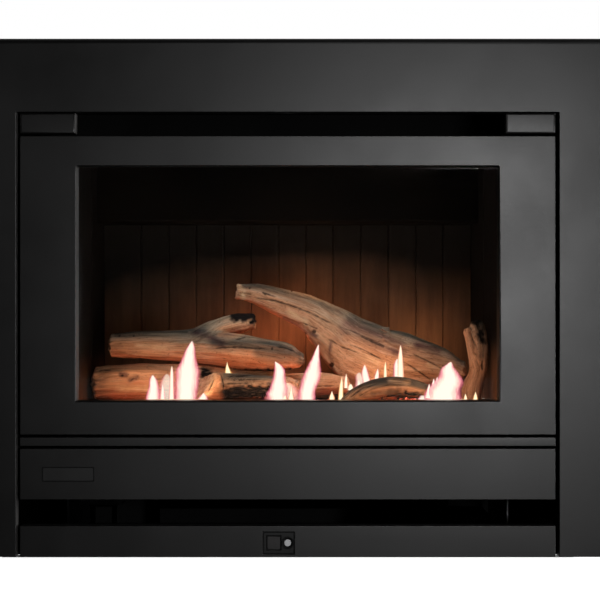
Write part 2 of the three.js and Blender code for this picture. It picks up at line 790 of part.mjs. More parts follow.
for (const [side, sign] of [['left', -1], ['right', 1]]) {
  const liner = extruded(sideLinerShape(sign), sideLinerHeight);
  add(fire, `${side}_liner`, liner, 'liner', 0, 0, fireboxFloor + seat);
}

// Baffle hood: a folded sheet between the side liners that hides the flue outlet
{
  const face = rearLinerFront - hoodFace;
  const base = fireboxFloor + seat + rearLinerHeight + seat;
  const profile = strip([
    [rearLinerFront + rearLinerThickness, base],
    [face + hoodLip, base],
    [face, base + hoodLip],
    [face, base + hoodFaceHeight],
  ], -sheet);
  const halfWidth = (y) => linerFrontWidth / 2 - (y - sideLinerFront) * Math.tan(splay) - seat;
  const back = rearLinerFront + rearLinerThickness + overrun;
  const front = face - overrun;
  const plan = extruded(polygon([
    [-halfWidth(front), front], [halfWidth(front), front], [halfWidth(back), back], [-halfWidth(back), back],
  ]), 2 * hoodFaceHeight).translate(0, 0, base - overrun);
  add(fire, 'baffle_hood', common(alongX(profile, linerFrontWidth), plan), 'heatSteel');
}

// Burner tray: an inverted pan with two rows of ports
{
  const pan = block(
    [-burnerWidth / 2, burnerFront, fireboxFloor + seat],
    [burnerWidth / 2, burnerBack, burnerTop],
  );
  const hollow = block(
    [-burnerWidth / 2 + sheet, burnerFront + sheet, fireboxFloor - overrun],
    [burnerWidth / 2 - sheet, burnerBack - sheet, burnerTop - sheet],
  );
  const port = cylinderZ(burnerPortRadius, burnerTop - sheet - overrun, burnerTop + overrun, 8);
  const ports = [];
  for (let row = 0; row < burnerPortRows; row += 1) {
    for (let i = 0; i < burnerPortsPerRow; i += 1) {
      const x = (i - (burnerPortsPerRow - 1) / 2) * burnerPortPitch;
      const y = burnerFront + burnerFrontRow + row * burnerPortRowGap;
      ports.push(port.clone().translate(x, y, 0));
    }
  }
  add(fire, 'burner_tray', cut(pan, hollow, ...ports), 'heatSteel');
}

// Ember bed: a low rippled heap in front of the tray
function emberBedGeometry() {
  const bed = new THREE.BoxGeometry(
    emberWidth, emberDepth, emberThickness, emberColumns, emberRows, 1,
  ).translate(0, emberFront + emberDepth / 2, fireboxFloor + seat + emberThickness / 2);
  const p = bed.attributes.position;
  for (let i = 0; i < p.count; i += 1) {
    if (p.getZ(i) < emberTop - emberThickness / 2) continue;
    const column = (p.getX(i) / emberWidth + 0.5) * emberColumns;
    const row = ((p.getY(i) - emberFront) / emberDepth) * emberRows;
    const wave = emberWaves.reduce((w, [a, b]) => w * Math.sin(a * column + b * row), 1);
    p.setZ(i, emberTop - (emberRipple * (1 - wave)) / 2);
  }
  return bed;
}
add(fire, 'ember_bed', emberBedGeometry(), 'ember');

// Fibre logs. A station is [x, depth, height, radius] in shares: x of half the window's
// width, depth of the firebox from its frame to the rear liner, height of the window's
// height above the burner tray, and radius of the usual log's.
function logGeometry(shares, options) {
  const { grow = 0, rings = logRings, depthShare = 1, lumpShare = 0.06, phase = 0 } = options;
  const depthRange = rearLinerFront - fireboxFront;
  const centres = shares.map(([x, y, z]) => new THREE.Vector3(
    x * windowX, fireboxFront + y * depthRange, burnerTop + z * windowHeight,
  ));
  const radii = new THREE.SplineCurve(shares.map(([, , , r], i) => new THREE.Vector2(i, r * logRadius)));
  const line = new THREE.CatmullRomCurve3(centres, false, 'centripetal');
  const across = new THREE.Vector3(0, 1, 0);
  const positions = [];
  const index = [];
  for (let ring = 0; ring <= rings; ring += 1) {
    const t = ring / rings;
    const centre = line.getPoint(t);
    const up = line.getTangent(t).cross(across).normalize();
    const radius = radii.getPoint(t).y;
    for (let k = 0; k < logSides; k += 1) {
      const angle = (2 * Math.PI * k) / logSides;
      const wave = Math.sin(2 * angle + 5 * t + phase) + Math.sin(3 * angle - 9 * t + 2 * phase);
      const lump = 1 + lumpShare * wave;
      const point = centre.clone()
        .addScaledVector(up, Math.cos(angle) * (radius * lump + grow))
        .addScaledVector(across, Math.sin(angle) * (radius * depthShare * lump + grow));
      positions.push(point.x, point.y, point.z);
    }
  }
  for (const t of [0, 1]) {
    const direction = line.getTangent(t).multiplyScalar(t ? 1 : -1);
    const end = line.getPoint(t).addScaledVector(direction, radii.getPoint(t).y * logEndShare + grow);
    positions.push(end.x, end.y, end.z);
  }
  const first = logSides * (rings + 1);
  for (let ring = 0; ring < rings; ring += 1) {
    for (let k = 0; k < logSides; k += 1) {
      const a = ring * logSides + k;
      const b = ring * logSides + ((k + 1) % logSides);
      index.push(a, a + logSides, b, b, a + logSides, b + logSides);
    }
  }
  for (let k = 0; k < logSides; k += 1) {
    const next = (k + 1) % logSides;
    index.push(first, k, next);
    const last = logSides * rings;
    index.push(first + 1, last + next, last + k);
  }
  const geometry = new THREE.BufferGeometry();
  geometry.setAttribute('position', new THREE.BufferAttribute(new Float32Array(positions), 3));
  geometry.setIndex(index);
  return geometry;
}

const logShares = {
  rear: [
    [
      [-0.965, 0.48, 0.083, 0.95], [-0.9, 0.48, 0.085, 1.08], [-0.745, 0.48, 0.089, 1.12],
      [-0.44, 0.48, 0.085, 1.08], [-0.02, 0.48, 0.068, 0.84], [0.19, 0.48, 0.083, 0.7],
      [0.3, 0.48, 0.077, 0.5],
    ],
    { phase: 0.4 },
  ],
  front: [
    [
      [-0.47, 0.31, 0.064, 0.82], [-0.36, 0.31, 0.068, 0.9], [-0.187, 0.31, 0.069, 0.94],
      [-0.013, 0.31, 0.063, 0.82], [0.045, 0.31, 0.06, 0.5],
    ],
    { phase: 1.9, lumpShare: 0.05 },
  ],
  arch: [
    [
      [0.26, 0.134, -0.03, 0.48], [0.32, 0.134, 0.029, 0.6], [0.395, 0.134, 0.063, 0.63],
      [0.489, 0.134, 0.081, 0.6], [0.572, 0.134, 0.081, 0.54], [0.67, 0.134, 0.061, 0.48],
      [0.768, 0.134, 0.029, 0.44], [0.85, 0.134, -0.028, 0.44],
    ],
    { phase: 3.1, lumpShare: 0.04 },
  ],
  diagonal: [
    [
      [-0.262, 0.765, 0.503, 0.45], [-0.153, 0.757, 0.488, 0.7], [-0.013, 0.733, 0.442, 0.92],
      [0.125, 0.704, 0.396, 1.12], [0.23, 0.676, 0.325, 1.55], [0.319, 0.644, 0.258, 1.85],
      [0.471, 0.603, 0.168, 2.38], [0.56, 0.585, 0.176, 1.85], [0.7, 0.555, 0.157, 1.48],
      [0.804, 0.53, 0.143, 1.1], [0.88, 0.514, 0.127, 0.7],
    ],
    { phase: 4.4, lumpShare: 0.03, depthShare: 0.55 },
  ],
  upright: [
    [
      [0.911, 0.36, -0.01, 0.52], [0.918, 0.36, 0.068, 0.6], [0.943, 0.36, 0.131, 0.5],
      [0.951, 0.36, 0.194, 0.56], [0.954, 0.36, 0.261, 0.53], [0.95, 0.36, 0.32, 0.49],
      [0.944, 0.36, 0.352, 0.42], [0.943, 0.36, 0.366, 0.3],
    ],
    { phase: 0.9, lumpShare: 0.03, rings: 16 },
  ],
  uprightProng: [
    [
      [0.932, 0.35, 0.185, 0.34], [0.915, 0.345, 0.239, 0.31], [0.904, 0.345, 0.284, 0.29],
      [0.8945, 0.342, 0.322, 0.25], [0.892, 0.34, 0.335, 0.17],
    ],
    { phase: 2.2, lumpShare: 0.03, rings: 8 },
  ],
  forked: [
    [
      [-0.893, 0.563, 0.2575, 0.74], [-0.749, 0.5425, 0.255, 0.88], [-0.57, 0.514, 0.254, 0.92],
      [-0.417, 0.482, 0.249, 1.04], [-0.265, 0.441, 0.2326, 1], [-0.114, 0.401, 0.2177, 0.92],
      [0.0115, 0.3725, 0.2025, 0.76], [0.071, 0.36, 0.19, 0.36],
    ],
    { phase: 5.2, lumpShare: 0.05 },
  ],
  forkedBranch: [
    [
      [-0.44, 0.49, 0.275, 0.8], [-0.333, 0.5425, 0.332, 0.7], [-0.243, 0.583, 0.357, 0.68],
      [-0.172, 0.603, 0.365, 0.46],
    ],
    { phase: 1.2, rings: 9 },
  ],
};
const sawShares = { x: -0.42, depth: 0.31 }; // where the front log is sawn off
const sawTurn = 0.75; // radians, as is the tilt
const sawTilt = 0.5;
const logShape = (name, grow = 0) => {
  const [stations, options] = logShares[name];
  return logGeometry(stations, { ...options, grow });
};
// What the logs stand on, with its seating gap: the tray, and the ember bed in front of it.
const hearthBelow = block(
  [-fireboxInnerWidth, burnerFront - seat, -fireboxFloor],
  [fireboxInnerWidth, fireboxBack, burnerTop + seat],
);
const emberBelow = block(
  [-fireboxInnerWidth, 0, -fireboxFloor],
  [fireboxInnerWidth, fireboxBack, emberTop - emberRipple],
);
const emberRise = emberBedGeometry().translate(0, 0, seat);
add(fire, 'log_rear', cut(logShape('rear'), hearthBelow), 'logs');
{
  // The near end of the front log is sawn off at a slant.
  const saw = new THREE.BoxGeometry(4 * logRadius, 4 * logRadius, 4 * logRadius)
    .translate(-2 * logRadius, 0, 0)
    .rotateY(sawTilt)
    .rotateZ(sawTurn)
    .translate(
      sawShares.x * windowX,
      fireboxFront + sawShares.depth * (rearLinerFront - fireboxFront),
      burnerTop + logRadius,
    );
  add(fire, 'log_front', cut(logShape('front'), hearthBelow, logShape('rear', seat), saw), 'logs');
}
add(fire, 'log_arch', cut(logShape('arch'), hearthBelow, emberBelow, emberRise), 'logs');
add(fire, 'log_upright', cut(join(logShape('upright'), logShape('uprightProng')), hearthBelow), 'logs');
add(fire, 'log_diagonal', cut(
  logShape('diagonal'), hearthBelow,
  logShape('rear', seat), logShape('upright', seat), logShape('uprightProng', seat),
), 'logs');
add(fire, 'log_forked', cut(
  join(logShape('forked'), logShape('forkedBranch')),
  logShape('rear', seat), logShape('front', seat), logShape('diagonal', seat),
), 'logs');

// Supports under the firebox
for (const [side, sign] of [['left', -1], ['right', 1]]) {
  const height = fireboxFloor - sheet - seat - casingBase;
  const profile = strip([[0, 0], [supportFlange, 0], [supportFlange, height], [0, height]], sheet);
  const channel = extruded(profile, supportDepth).rotateX(Math.PI / 2).translate(0, supportDepth, 0);
  const turned = sign > 0 ? channel : channel.rotateZ(Math.PI).translate(0, supportDepth, 0);
  const placed = turned.translate(
    sign * (fireboxHalf - supportInset - supportFlange), supportFront, casingBase,
  );
  const hole = cylinderX(gasPipeRadius + holeClearance, -casingWidth / 2, -fireboxHalf / 2, 16)
    .translate(0, gasInlet.y, gasInlet.z);
  add(fire, `support_${side}`, cut(placed, hole), 'galvanised');
}

// Convection fan: a cross-flow rotor between two end plates
const fan = group(fire, 0, rotorDepth, rotorHeight);
function rotorGeometry() {
  const blade = (turn) => {
    const outline = [];
    for (const side of [1, -1]) {
      const along = [0, 0.5, 1];
      if (side < 0) along.reverse();
      for (const s of along) {
        const r = rotorInnerRadius + s * (rotorRadius - rotorInnerRadius - seat);
        const angle = turn + bladeTurn * s * s + (side * bladeThickness) / r / 2;
        outline.push([r * Math.cos(angle), r * Math.sin(angle)]);
      }
    }
    return alongX(polygon(outline.reverse()), rotorLength - discThickness);
  };
  const pieces = [];
  for (let i = 0; i < rotorBlades; i += 1) pieces.push(blade((2 * Math.PI * i) / rotorBlades));
  for (const x of [-rotorLength / 2, -discThickness / 2, rotorLength / 2 - discThickness]) {
    pieces.push(cylinderX(rotorRadius, x, x + discThickness, 36));
  }
  const reach = rotorLength / 2 + endPlateGap + sheet + seat;
  return join(cylinderX(shaftRadius, -reach, reach + motorNeck + motorStack / 2, 12), ...pieces);
}
add(fan, 'fan_rotor', rotorGeometry(), 'galvanised');

const scrollRadius = (turn) => rotorRadius + scrollClearance + (scrollGrowth * turn) / Math.PI;
const scrollLength = rotorLength + 2 * (endPlateGap - seat);
const outletTop = fireboxFloor - sheet - seat - rotorHeight;
{
  const points = [];
  const turns = 12;
  for (let i = 0; i <= turns; i += 1) {
    const turn = scrollStart + ((Math.PI - scrollStart) * i) / turns;
    points.push([-Math.cos(turn) * scrollRadius(turn), -Math.sin(turn) * scrollRadius(turn)]);
  }
  points.push([scrollRadius(Math.PI), outletTop - seat]);
  add(fan, 'fan_scroll', alongX(strip(points, -scrollSheet), scrollLength), 'darkPaint');
}
add(fan, 'fan_tongue', alongX(strip([
  [tongueLean, rotorRadius + scrollClearance],
  [tongueLean + scrollClearance, rotorRadius + 3 * scrollClearance],
  [tongueLean + scrollClearance, outletTop],
  [-rotorRadius, outletTop],
], scrollSheet), scrollLength), 'darkPaint');
for (const [side, sign] of [['left', -1], ['right', 1]]) {
  const front = -rotorRadius - scrollClearance;
  const back = scrollRadius(Math.PI) + scrollSheet;
  const foot = casingBase - rotorHeight;
  const plate = alongX(polygon([
    [front, foot], [back, foot], [back, outletTop], [front, outletTop],
  ]), sheet);
  const hole = cylinderX(shaftRadius + shaftClearance, -overrun, overrun, 16);
  add(fan, `fan_end_plate_${side}`, cut(plate, hole), 'darkPaint',
    sign * (rotorLength / 2 + endPlateGap + sheet / 2));
}
{
  const start = rotorLength / 2 + endPlateGap + sheet + seat;
  const half = motorSide / 2;
  const neck = cylinderX(half / 2, start, start + motorNeck + sheet, 16);
  const stack = block([start + motorNeck, -half, -half], [start + motorNeck + motorStack, half, half]);
  const coil = block(
    [start + motorNeck - motorCoil, -half / 2, -half - motorCoil],
    [start + motorNeck + motorStack + motorCoil, half / 2, -half / 3],
  );
  const boreEnd = start + motorNeck + motorStack / 2 + shaftClearance;
  const bore = cylinderX(shaftRadius + shaftClearance, 0, boreEnd, 16);
  add(fan, 'fan_motor', cut(join(stack, neck, coil), bore), 'castAluminium');
}

// Gas train: inlet, valve on its bracket, feed pipe, injector and venturi
const valve = group(fire, -valveOffset, gasInlet.y, valveBaseHeight);
const valveReach = valveWidth / 2 + valveBossReach;
{
  const body = block([-valveWidth / 2, -valveDepth / 2, 0], [valveWidth / 2, valveDepth / 2, valveHeight]);
  const boss = cylinderX(gasPipeRadius + valveBossWall, -valveReach, valveReach, 12)
    .translate(0, 0, valveHeight / 2);
  const testPoint = cylinderY(testPointRadius, -valveDepth / 2 - testPointReach, 0, 12)
    .translate(0, 0, valveHeight / 2);
  const neck = solenoidHeight * solenoidNeckShare;
  const solenoids = [-valveWidth / 4, valveWidth / 4].map((x) => turnedY([
    [0, -sheet], [solenoidRadius, -sheet], [solenoidRadius, neck],
    [solenoidRadius / 2, neck], [solenoidRadius / 2, solenoidHeight], [0, solenoidHeight],
  ], 20).rotateX(Math.PI / 2).translate(x, 0, valveHeight));
  add(valve, 'gas_valve', join(body, boss, testPoint, ...solenoids), 'castAluminium');
}
{
  const height = valveBaseHeight - seat - sheet - casingBase;
  const profile = strip([
    [-valveWidth / 2, 0], [-valveWidth / 4, 0], [-valveWidth / 4, height],
    [valveWidth / 4, height], [valveWidth / 4, 0], [valveWidth / 2, 0],
  ], sheet);
  const bracket = extruded(profile, valveDepth).rotateX(Math.PI / 2).translate(0, valveDepth / 2, 0);
  add(valve, 'valve_bracket', bracket, 'galvanised', 0, 0, casingBase - valveBaseHeight);
}
{
  const end = -valveReach - seat;
  const start = valveOffset - casingWidth / 2 - gasPipeReach;
  const tube = cylinderX(gasPipeRadius, start, end, 16);
  const nutStart = start + gasNutFromEnd;
  const nut = cylinderX(gasPipeRadius + gasNutWall, nutStart, nutStart + gasNutLength, 6);
  const bore = cylinderX(gasPipeRadius - gasPipeWall, start - overrun, end + overrun, 16);
  add(valve, 'gas_inlet_pipe', cut(join(tube, nut), bore), 'brass', 0, 0, valveHeight / 2);
}
const venturi = { y: (burnerFront + burnerBack) / 2, start: -venturiLength };
{
  // The injector is soldered to the end of its pipe.
  const injectorStart = venturi.start - injectorLength - seat;
  const from = new THREE.Vector3(valveReach + seat - valveOffset, gasInlet.y, gasInlet.z);
  const to = new THREE.Vector3(injectorStart + sheet, venturi.y, venturiHeight);
  const bend = new THREE.Vector3(to.x - from.x, 0, 0).multiplyScalar(feedBendShare);
  const curve = new THREE.CubicBezierCurve3(from, from.clone().add(bend), to.clone().sub(bend), to);
  const injector = turnedX([
    [0, 0], [injectorRadius, 0], [injectorRadius, injectorLength / 2],
    [injectorRadius / 2, injectorLength / 2], [injectorRadius / 3, injectorLength], [0, injectorLength],
  ], 12).translate(injectorStart, venturi.y, venturiHeight);
  add(fire, 'gas_feed_pipe', join(pipe(curve, feedPipeRadius, 14, 4), injector), 'brass');
}
{
  const curve = new THREE.CurvePath();
  const start = new THREE.Vector3(venturi.start, venturi.y, venturiHeight);
  const corner = new THREE.Vector3(0, venturi.y, venturiHeight);
  const beforeBend = corner.clone().setX(-venturiBend);
  const afterBend = corner.clone().setZ(venturiHeight + venturiBend);
  curve.add(new THREE.LineCurve3(start, beforeBend));
  curve.add(new THREE.QuadraticBezierCurve3(beforeBend, corner, afterBend));
  add(fire, 'burner_venturi', pipe(curve, venturiRadius, 10, 6, venturiRadius - venturiWall), 'heatSteel');
}
add(fire, 'spark_electrode', join(
  cylinderZ(electrodeRadius, fireboxFloor - electrodeBelow, fireboxFloor + electrodeAbove, 12),
  cylinderZ(electrodeWireRadius, fireboxFloor, burnerTop + electrodeTip, 8),
), 'ceramic', electrode.x, electrode.y);

// Control box and mains cable gland
add(fire, 'control_box', join(
  block(
    [-controlBoxWidth / 2, 0, 0],
    [controlBoxWidth / 2, controlBoxDepth, controlBoxHeight - controlBoxLid],
  ),
  block(
    [-controlBoxWidth / 2 - controlBoxLid, -controlBoxLid, controlBoxHeight - 2 * controlBoxLid],
    [controlBoxWidth / 2 + controlBoxLid, controlBoxDepth + controlBoxLid, controlBoxHeight],
  ),
), 'plastic', controlBoxOffset, controlBoxFront, casingBase);
{
  const rimStart = sheet + seat;
  const rimEnd = rimStart + glandRimLength;
  const headEnd = rimEnd + glandHeadLength;
  const body = turnedX([
    [0, -glandTail], [glandRadius, -glandTail], [glandRadius, rimStart], [glandRadius + glandRim, rimStart],
    [glandRadius + glandRim, rimEnd], [glandRadius, headEnd], [0, headEnd],
  ], 16);
  const bore = cylinderX(glandBore, -glandTail - overrun, headEnd + overrun, 12);
  add(fire, 'cable_gland', cut(body, bore), 'plastic', casingWidth / 2 - sheet, gland.y, gland.z);
}

// Balanced flue
const flue = group(fire, 0, 0, flueHeight);
const tubeY = (radius, wall, y0, y1) => cut(
  cylinderY(radius, y0, y1, 32), cylinderY(radius - wall, y0 - overrun, y1 + overrun, 32),
);
add(flue, 'flue_pipe', tubeY(flueRadius, flueWall, fireboxBack - seat, overallDepth), 'galvanised');
add(flue, 'flue_collar', cut(
  join(
    cylinderY(collarRadius, casingRearPlane + seat, overallDepth - collarSetback, 32),
    cylinderY(collarRadius + collarFlange, casingBack + seat, casingBack + seat + sheet, 32),
  ),
  cylinderY(collarRadius - flueWall, casingRearPlane - overrun, overallDepth, 32),
), 'galvanised');
{
  const front = fireboxBack + sheet + seat;
  const back = front + airBoxDepth;
  const half = airBoxWidth / 2;
  const shell = block([-half, front, fireboxFloor], [half, back, airBoxTop]);
  const hollow = block(
    [-half + sheet, front - overrun, fireboxFloor + sheet],
    [half - sheet, back - sheet, airBoxTop - sheet],
  );
  const hole = cylinderY(collarRadius - flueWall, back - sheet - overrun, back + overrun, 32)
    .translate(0, 0, flueHeight);
  add(fire, 'combustion_air_box', cut(shell, hollow, hole), 'galvanised');
}

export default fire;
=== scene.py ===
"""Looks of a built-in gas log fire: coated face, fibre logs, flames, embers and the metal behind."""

import json
import math

import bmesh
import bpy
import numpy as np
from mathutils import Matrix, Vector

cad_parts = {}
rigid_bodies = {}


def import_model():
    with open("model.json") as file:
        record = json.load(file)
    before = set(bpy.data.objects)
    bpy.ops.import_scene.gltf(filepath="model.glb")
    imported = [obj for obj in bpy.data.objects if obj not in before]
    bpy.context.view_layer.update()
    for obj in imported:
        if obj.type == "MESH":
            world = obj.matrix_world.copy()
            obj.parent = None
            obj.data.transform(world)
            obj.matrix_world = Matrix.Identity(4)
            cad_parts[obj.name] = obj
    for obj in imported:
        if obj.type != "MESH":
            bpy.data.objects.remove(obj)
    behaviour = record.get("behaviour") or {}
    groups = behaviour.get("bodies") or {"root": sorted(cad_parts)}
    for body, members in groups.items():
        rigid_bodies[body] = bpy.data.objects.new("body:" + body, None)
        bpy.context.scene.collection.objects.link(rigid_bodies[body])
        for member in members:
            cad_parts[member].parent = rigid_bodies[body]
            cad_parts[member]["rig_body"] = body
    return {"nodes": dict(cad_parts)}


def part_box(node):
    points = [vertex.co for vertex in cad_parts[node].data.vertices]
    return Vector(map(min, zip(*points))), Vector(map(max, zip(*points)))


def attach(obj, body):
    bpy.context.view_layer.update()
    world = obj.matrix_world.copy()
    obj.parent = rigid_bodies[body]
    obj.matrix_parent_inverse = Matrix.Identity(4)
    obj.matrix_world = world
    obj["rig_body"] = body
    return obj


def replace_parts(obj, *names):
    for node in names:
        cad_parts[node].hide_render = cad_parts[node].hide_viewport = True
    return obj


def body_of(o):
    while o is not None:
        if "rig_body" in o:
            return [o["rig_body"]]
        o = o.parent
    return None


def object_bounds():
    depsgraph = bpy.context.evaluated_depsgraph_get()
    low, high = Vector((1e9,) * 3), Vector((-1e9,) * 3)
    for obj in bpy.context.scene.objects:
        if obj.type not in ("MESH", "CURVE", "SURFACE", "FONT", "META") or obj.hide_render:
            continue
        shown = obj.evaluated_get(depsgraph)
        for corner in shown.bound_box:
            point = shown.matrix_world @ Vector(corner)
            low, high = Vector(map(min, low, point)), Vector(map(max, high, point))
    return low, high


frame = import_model()
cad_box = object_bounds()
scene = bpy.context.scene

# Camera, straight in front of the face, with the photograph's framing

FACE = cad_box[0].y
PICTURE = 600  # pixels across
PIXEL = 0.0014  # metres to a pixel, at the face
STAND_OFF, EYE_HEIGHT = 2.5, 0.3633  # of the eye, from the face and over the floor
EYE_X, EYE_Y = 287.7, 297.5  # the pixel straight in front of the eye
FILM = 36  # millimetres

camera = bpy.data.objects.new("camera", bpy.data.cameras.new("camera"))
scene.collection.objects.link(camera)
bpy.context.scene.camera = camera
camera.location = (0, FACE - STAND_OFF, EYE_HEIGHT)
camera.rotation_euler = (math.pi / 2, 0, 0)
camera.data.sensor_width = FILM
camera.data.lens = FILM * STAND_OFF / (PICTURE * PIXEL)
camera.data.shift_x = (PICTURE / 2 - EYE_X) / PICTURE
camera.data.shift_y = (EYE_Y - PICTURE / 2) / PICTURE


def seen(px, py, depth):
    """The place at a depth behind the face that a pixel of the picture shows."""
    reach = PIXEL * (STAND_OFF + depth) / STAND_OFF
    return Vector(((px - EYE_X) * reach, FACE + depth, EYE_HEIGHT + (EYE_Y - py) * reach))


def pictured(points):
    """The pixels that show these places."""
    reach = PIXEL * (STAND_OFF + points[:, 1] - FACE) / STAND_OFF
    return np.stack([EYE_X + points[:, 0] / reach, EYE_Y + (EYE_HEIGHT - points[:, 2]) / reach], 1)


# Nodes, for the studio, the finishes and what is repeated

class Nodes:
    """A node tree that is built up node by node."""

    def __init__(self, tree):
        self.tree = tree

    def join(self, socket, value):
        """A value, or another node's output, for a socket."""
        if isinstance(value, bpy.types.NodeSocket):
            self.tree.links.new(value, socket)
        else:
            socket.default_value = value

    def node(self, kind, inputs=(), **settings):
        made = self.tree.nodes.new(kind)
        for name, value in settings.items():
            setattr(made, name, value)
        for name, value in dict(inputs).items():
            self.join(made.inputs[name], value)
        return made

    def maths(self, operation, *inputs, kind="ShaderNodeMath"):
        return self.node(kind, enumerate(inputs), operation=operation).outputs[0]


# Studio: pale floor, soft light from the right, dark in front on the left

FLAME_RADIUS = 0.012


def hung(name, kind, place, watts, colour):
    light = bpy.data.lights.new(name, kind)
    light.energy = watts
    light.color = colour
    lamp = bpy.data.objects.new(name, light)
    lamp.location = place
    lamp.visible_camera = False
    scene.collection.objects.link(lamp)
    return lamp


def softbox(name, place, aim, width, height, watts, colour=(1, 1, 1), spread=180):
    lamp = hung(name, "AREA", place, watts, colour)
    lamp.data.shape = "RECTANGLE"
    lamp.data.spread = math.radians(spread)
    lamp.data.size, lamp.data.size_y = width, height
    lamp.rotation_mode = "QUATERNION"
    lamp.rotation_quaternion = (Vector(aim) - Vector(place)).to_track_quat("-Z", "Y")
    return lamp


def firelight(name, place, watts, colour):
    """The light that a flame gives. It has no glint of its own."""
    lamp = hung(name, "POINT", place, watts, colour)
    lamp.data.shadow_soft_size = FLAME_RADIUS
    lamp.visible_transmission = False
    lamp.visible_glossy = False
    return lamp


# Each has its name, place, aim, width, height and watts
key = softbox("right_softbox", (0.45, FACE - 2.2, 0.49), (0.25, FACE, 0.42), 0.22, 0.60, 29)
side_light = softbox("right_side_strip", (2.3, FACE - 0.36, 0.4), (-0.3, FACE, 0.4), 0.15, 0.9, 46)
rear_light = softbox("rear_softbox", (0.8, 2.6, 2.0), (0, 0.1, 0.35), 2.0, 1.6, 60)
softbox("left_softbox", (-2.6, 0.9, 1.3), (-0.3, 0.1, 0.35), 1.4, 1.4, 24)

scene.view_settings.view_transform = "Standard"
scene.view_settings.look = "None"

# Ambient light comes from behind the fire, and the camera sees white
world = bpy.data.worlds.new("studio")
scene.world = world
world.use_nodes = True
world.node_tree.nodes.clear()
sky = Nodes(world.node_tree)
direction = sky.node("ShaderNodeTexCoord").outputs["Generated"]
rearward = sky.node("ShaderNodeSeparateXYZ", {0: direction}).outputs["Y"]
strength = sky.node("ShaderNodeMapRange", {
    "Value": rearward, "From Min": -0.1, "From Max": 0.6, "To Min": 0.003, "To Max": 0.45,
}).outputs["Result"]
ambient = sky.node("ShaderNodeBackground", {"Strength": strength}).outputs[0]
backdrop = sky.node("ShaderNodeBackground", {"Color": (1, 1, 1, 1)}).outputs[0]
to_camera = sky.node("ShaderNodeLightPath").outputs["Is Camera Ray"]
shown = sky.node("ShaderNodeMixShader", {0: to_camera, 1: ambient, 2: backdrop}).outputs[0]
sky.node("ShaderNodeOutputWorld", {"Surface": shown})


# Finishes

class Finish(Nodes):
    """A material put together from nodes on the piece's own coordinates."""

    def __init__(self, name, **sockets):
        self.material = bpy.data.materials.new(name)
        self.material.use_nodes = True
        super().__init__(self.material.node_tree)
        self.shader = self.tree.nodes["Principled BSDF"]
        self.own = self.node("ShaderNodeTexCoord").outputs["Object"]
        self.feed(**sockets)

    def feed(self, **sockets):
        for socket, value in sockets.items():
            self.join(self.shader.inputs[socket.replace("_", " ")], value)

    def texture(self, kind, stretch, source, inputs, **settings):
        """A texture on the piece's own coordinates, or on other ones, which a stretch scales."""
        place = source or self.own
        if stretch:
            place = self.node("ShaderNodeMapping", {"Vector": place, "Scale": stretch}).outputs[0]
        return self.node(kind, {"Vector": place, **inputs}, **settings).outputs

    def noise(self, scale, detail=4.0, rough=0.55, stretch=None, source=None, twist=0.0):
        inputs = {"Scale": scale, "Detail": detail, "Roughness": rough, "Distortion": twist}
        return self.texture("ShaderNodeTexNoise", stretch, source, inputs)[0]

    def cells(self, scale, feature="F1", stretch=None, source=None, output=0):
        inputs = {"Scale": scale}
        return self.texture("ShaderNodeTexVoronoi", stretch, source, inputs, feature=feature)[output]

    def mark(self, name, kind="Fac"):
        """What a mark on the points of the piece says."""
        return self.node("ShaderNodeAttribute", attribute_name=name).outputs[kind]

    def span(self, value, low, high, start=0.0, end=1.0):
        """A value from start to end made one from low to high."""
        return self.node("ShaderNodeMapRange", {
            "Value": value, "From Min": start, "From Max": end, "To Min": low, "To Max": high,
        }, clamp=True).outputs[0]

    def sum(self, a, b):
        return self.maths("ADD", a, b)

    def times(self, a, b):
        return self.maths("MULTIPLY", a, b)

    def ramp(self, value, *stops):
        made = self.node("ShaderNodeValToRGB", {"Fac": value})
        while len(made.color_ramp.elements) < len(stops):
            made.color_ramp.elements.new(0.5)
        for element, (place, colour) in zip(made.color_ramp.elements, stops):
            element.position = place
            element.color = (*colour, 1)
        return made.outputs[0]

    def mix(self, share, a, b, way="MIX"):
        a, b = (c if isinstance(c, bpy.types.NodeSocket) else (*c, 1) for c in (a, b))
        return self.node(
            "ShaderNodeMix", {0: share, 6: a, 7: b}, data_type="RGBA", blend_type=way,
        ).outputs[2]

    def layers(self, colour, *coats):
        """A colour under coats of (share, colour)."""
        for share, coat in coats:
            colour = self.mix(share, colour, coat)
        return colour

    def bump(self, height, distance, strength=1.0):
        made = self.node("ShaderNodeBump", {"Height": height, "Distance": distance, "Strength": strength})
        under = self.shader.inputs["Normal"].links
        if under:
            self.join(made.inputs["Normal"], under[0].from_socket)
        self.feed(Normal=made.outputs[0])


def coated(name, dark, light, rough, grain=0.00003, size=1400.0, shine=0.5, **sockets):
    """Paint, powder coat or moulded plastic: fine orange peel over a slow change of tone."""
    made = Finish(name, Specular_IOR_Level=shine, **sockets)
    slow = made.noise(7.0, 5.0)
    fine = made.noise(size, 2.0)
    made.feed(Base_Color=made.ramp(slow, (0.35, dark), (0.65, light)))
    made.feed(Roughness=made.span(made.sum(slow, fine), rough - 0.05, rough + 0.06, 0.7, 1.3))
    made.bump(fine, grain)
    return made.material


def rolled(name, dark, light, rough, stretch=(1, 1, 1), size=220.0, bump=0.00002):
    """Bare metal with the marks of rolling or drawing."""
    made = Finish(name, Metallic=1.0)
    drawn = made.noise(size, 5.0, 0.6, stretch)
    cloud = made.noise(9.0, 4.0)
    made.feed(Base_Color=made.ramp(made.times(drawn, cloud), (0.15, dark), (0.4, light)))
    made.feed(Roughness=made.span(drawn, rough - 0.08, rough + 0.1, 0.3, 0.7))
    made.bump(drawn, bump)
    return made.material


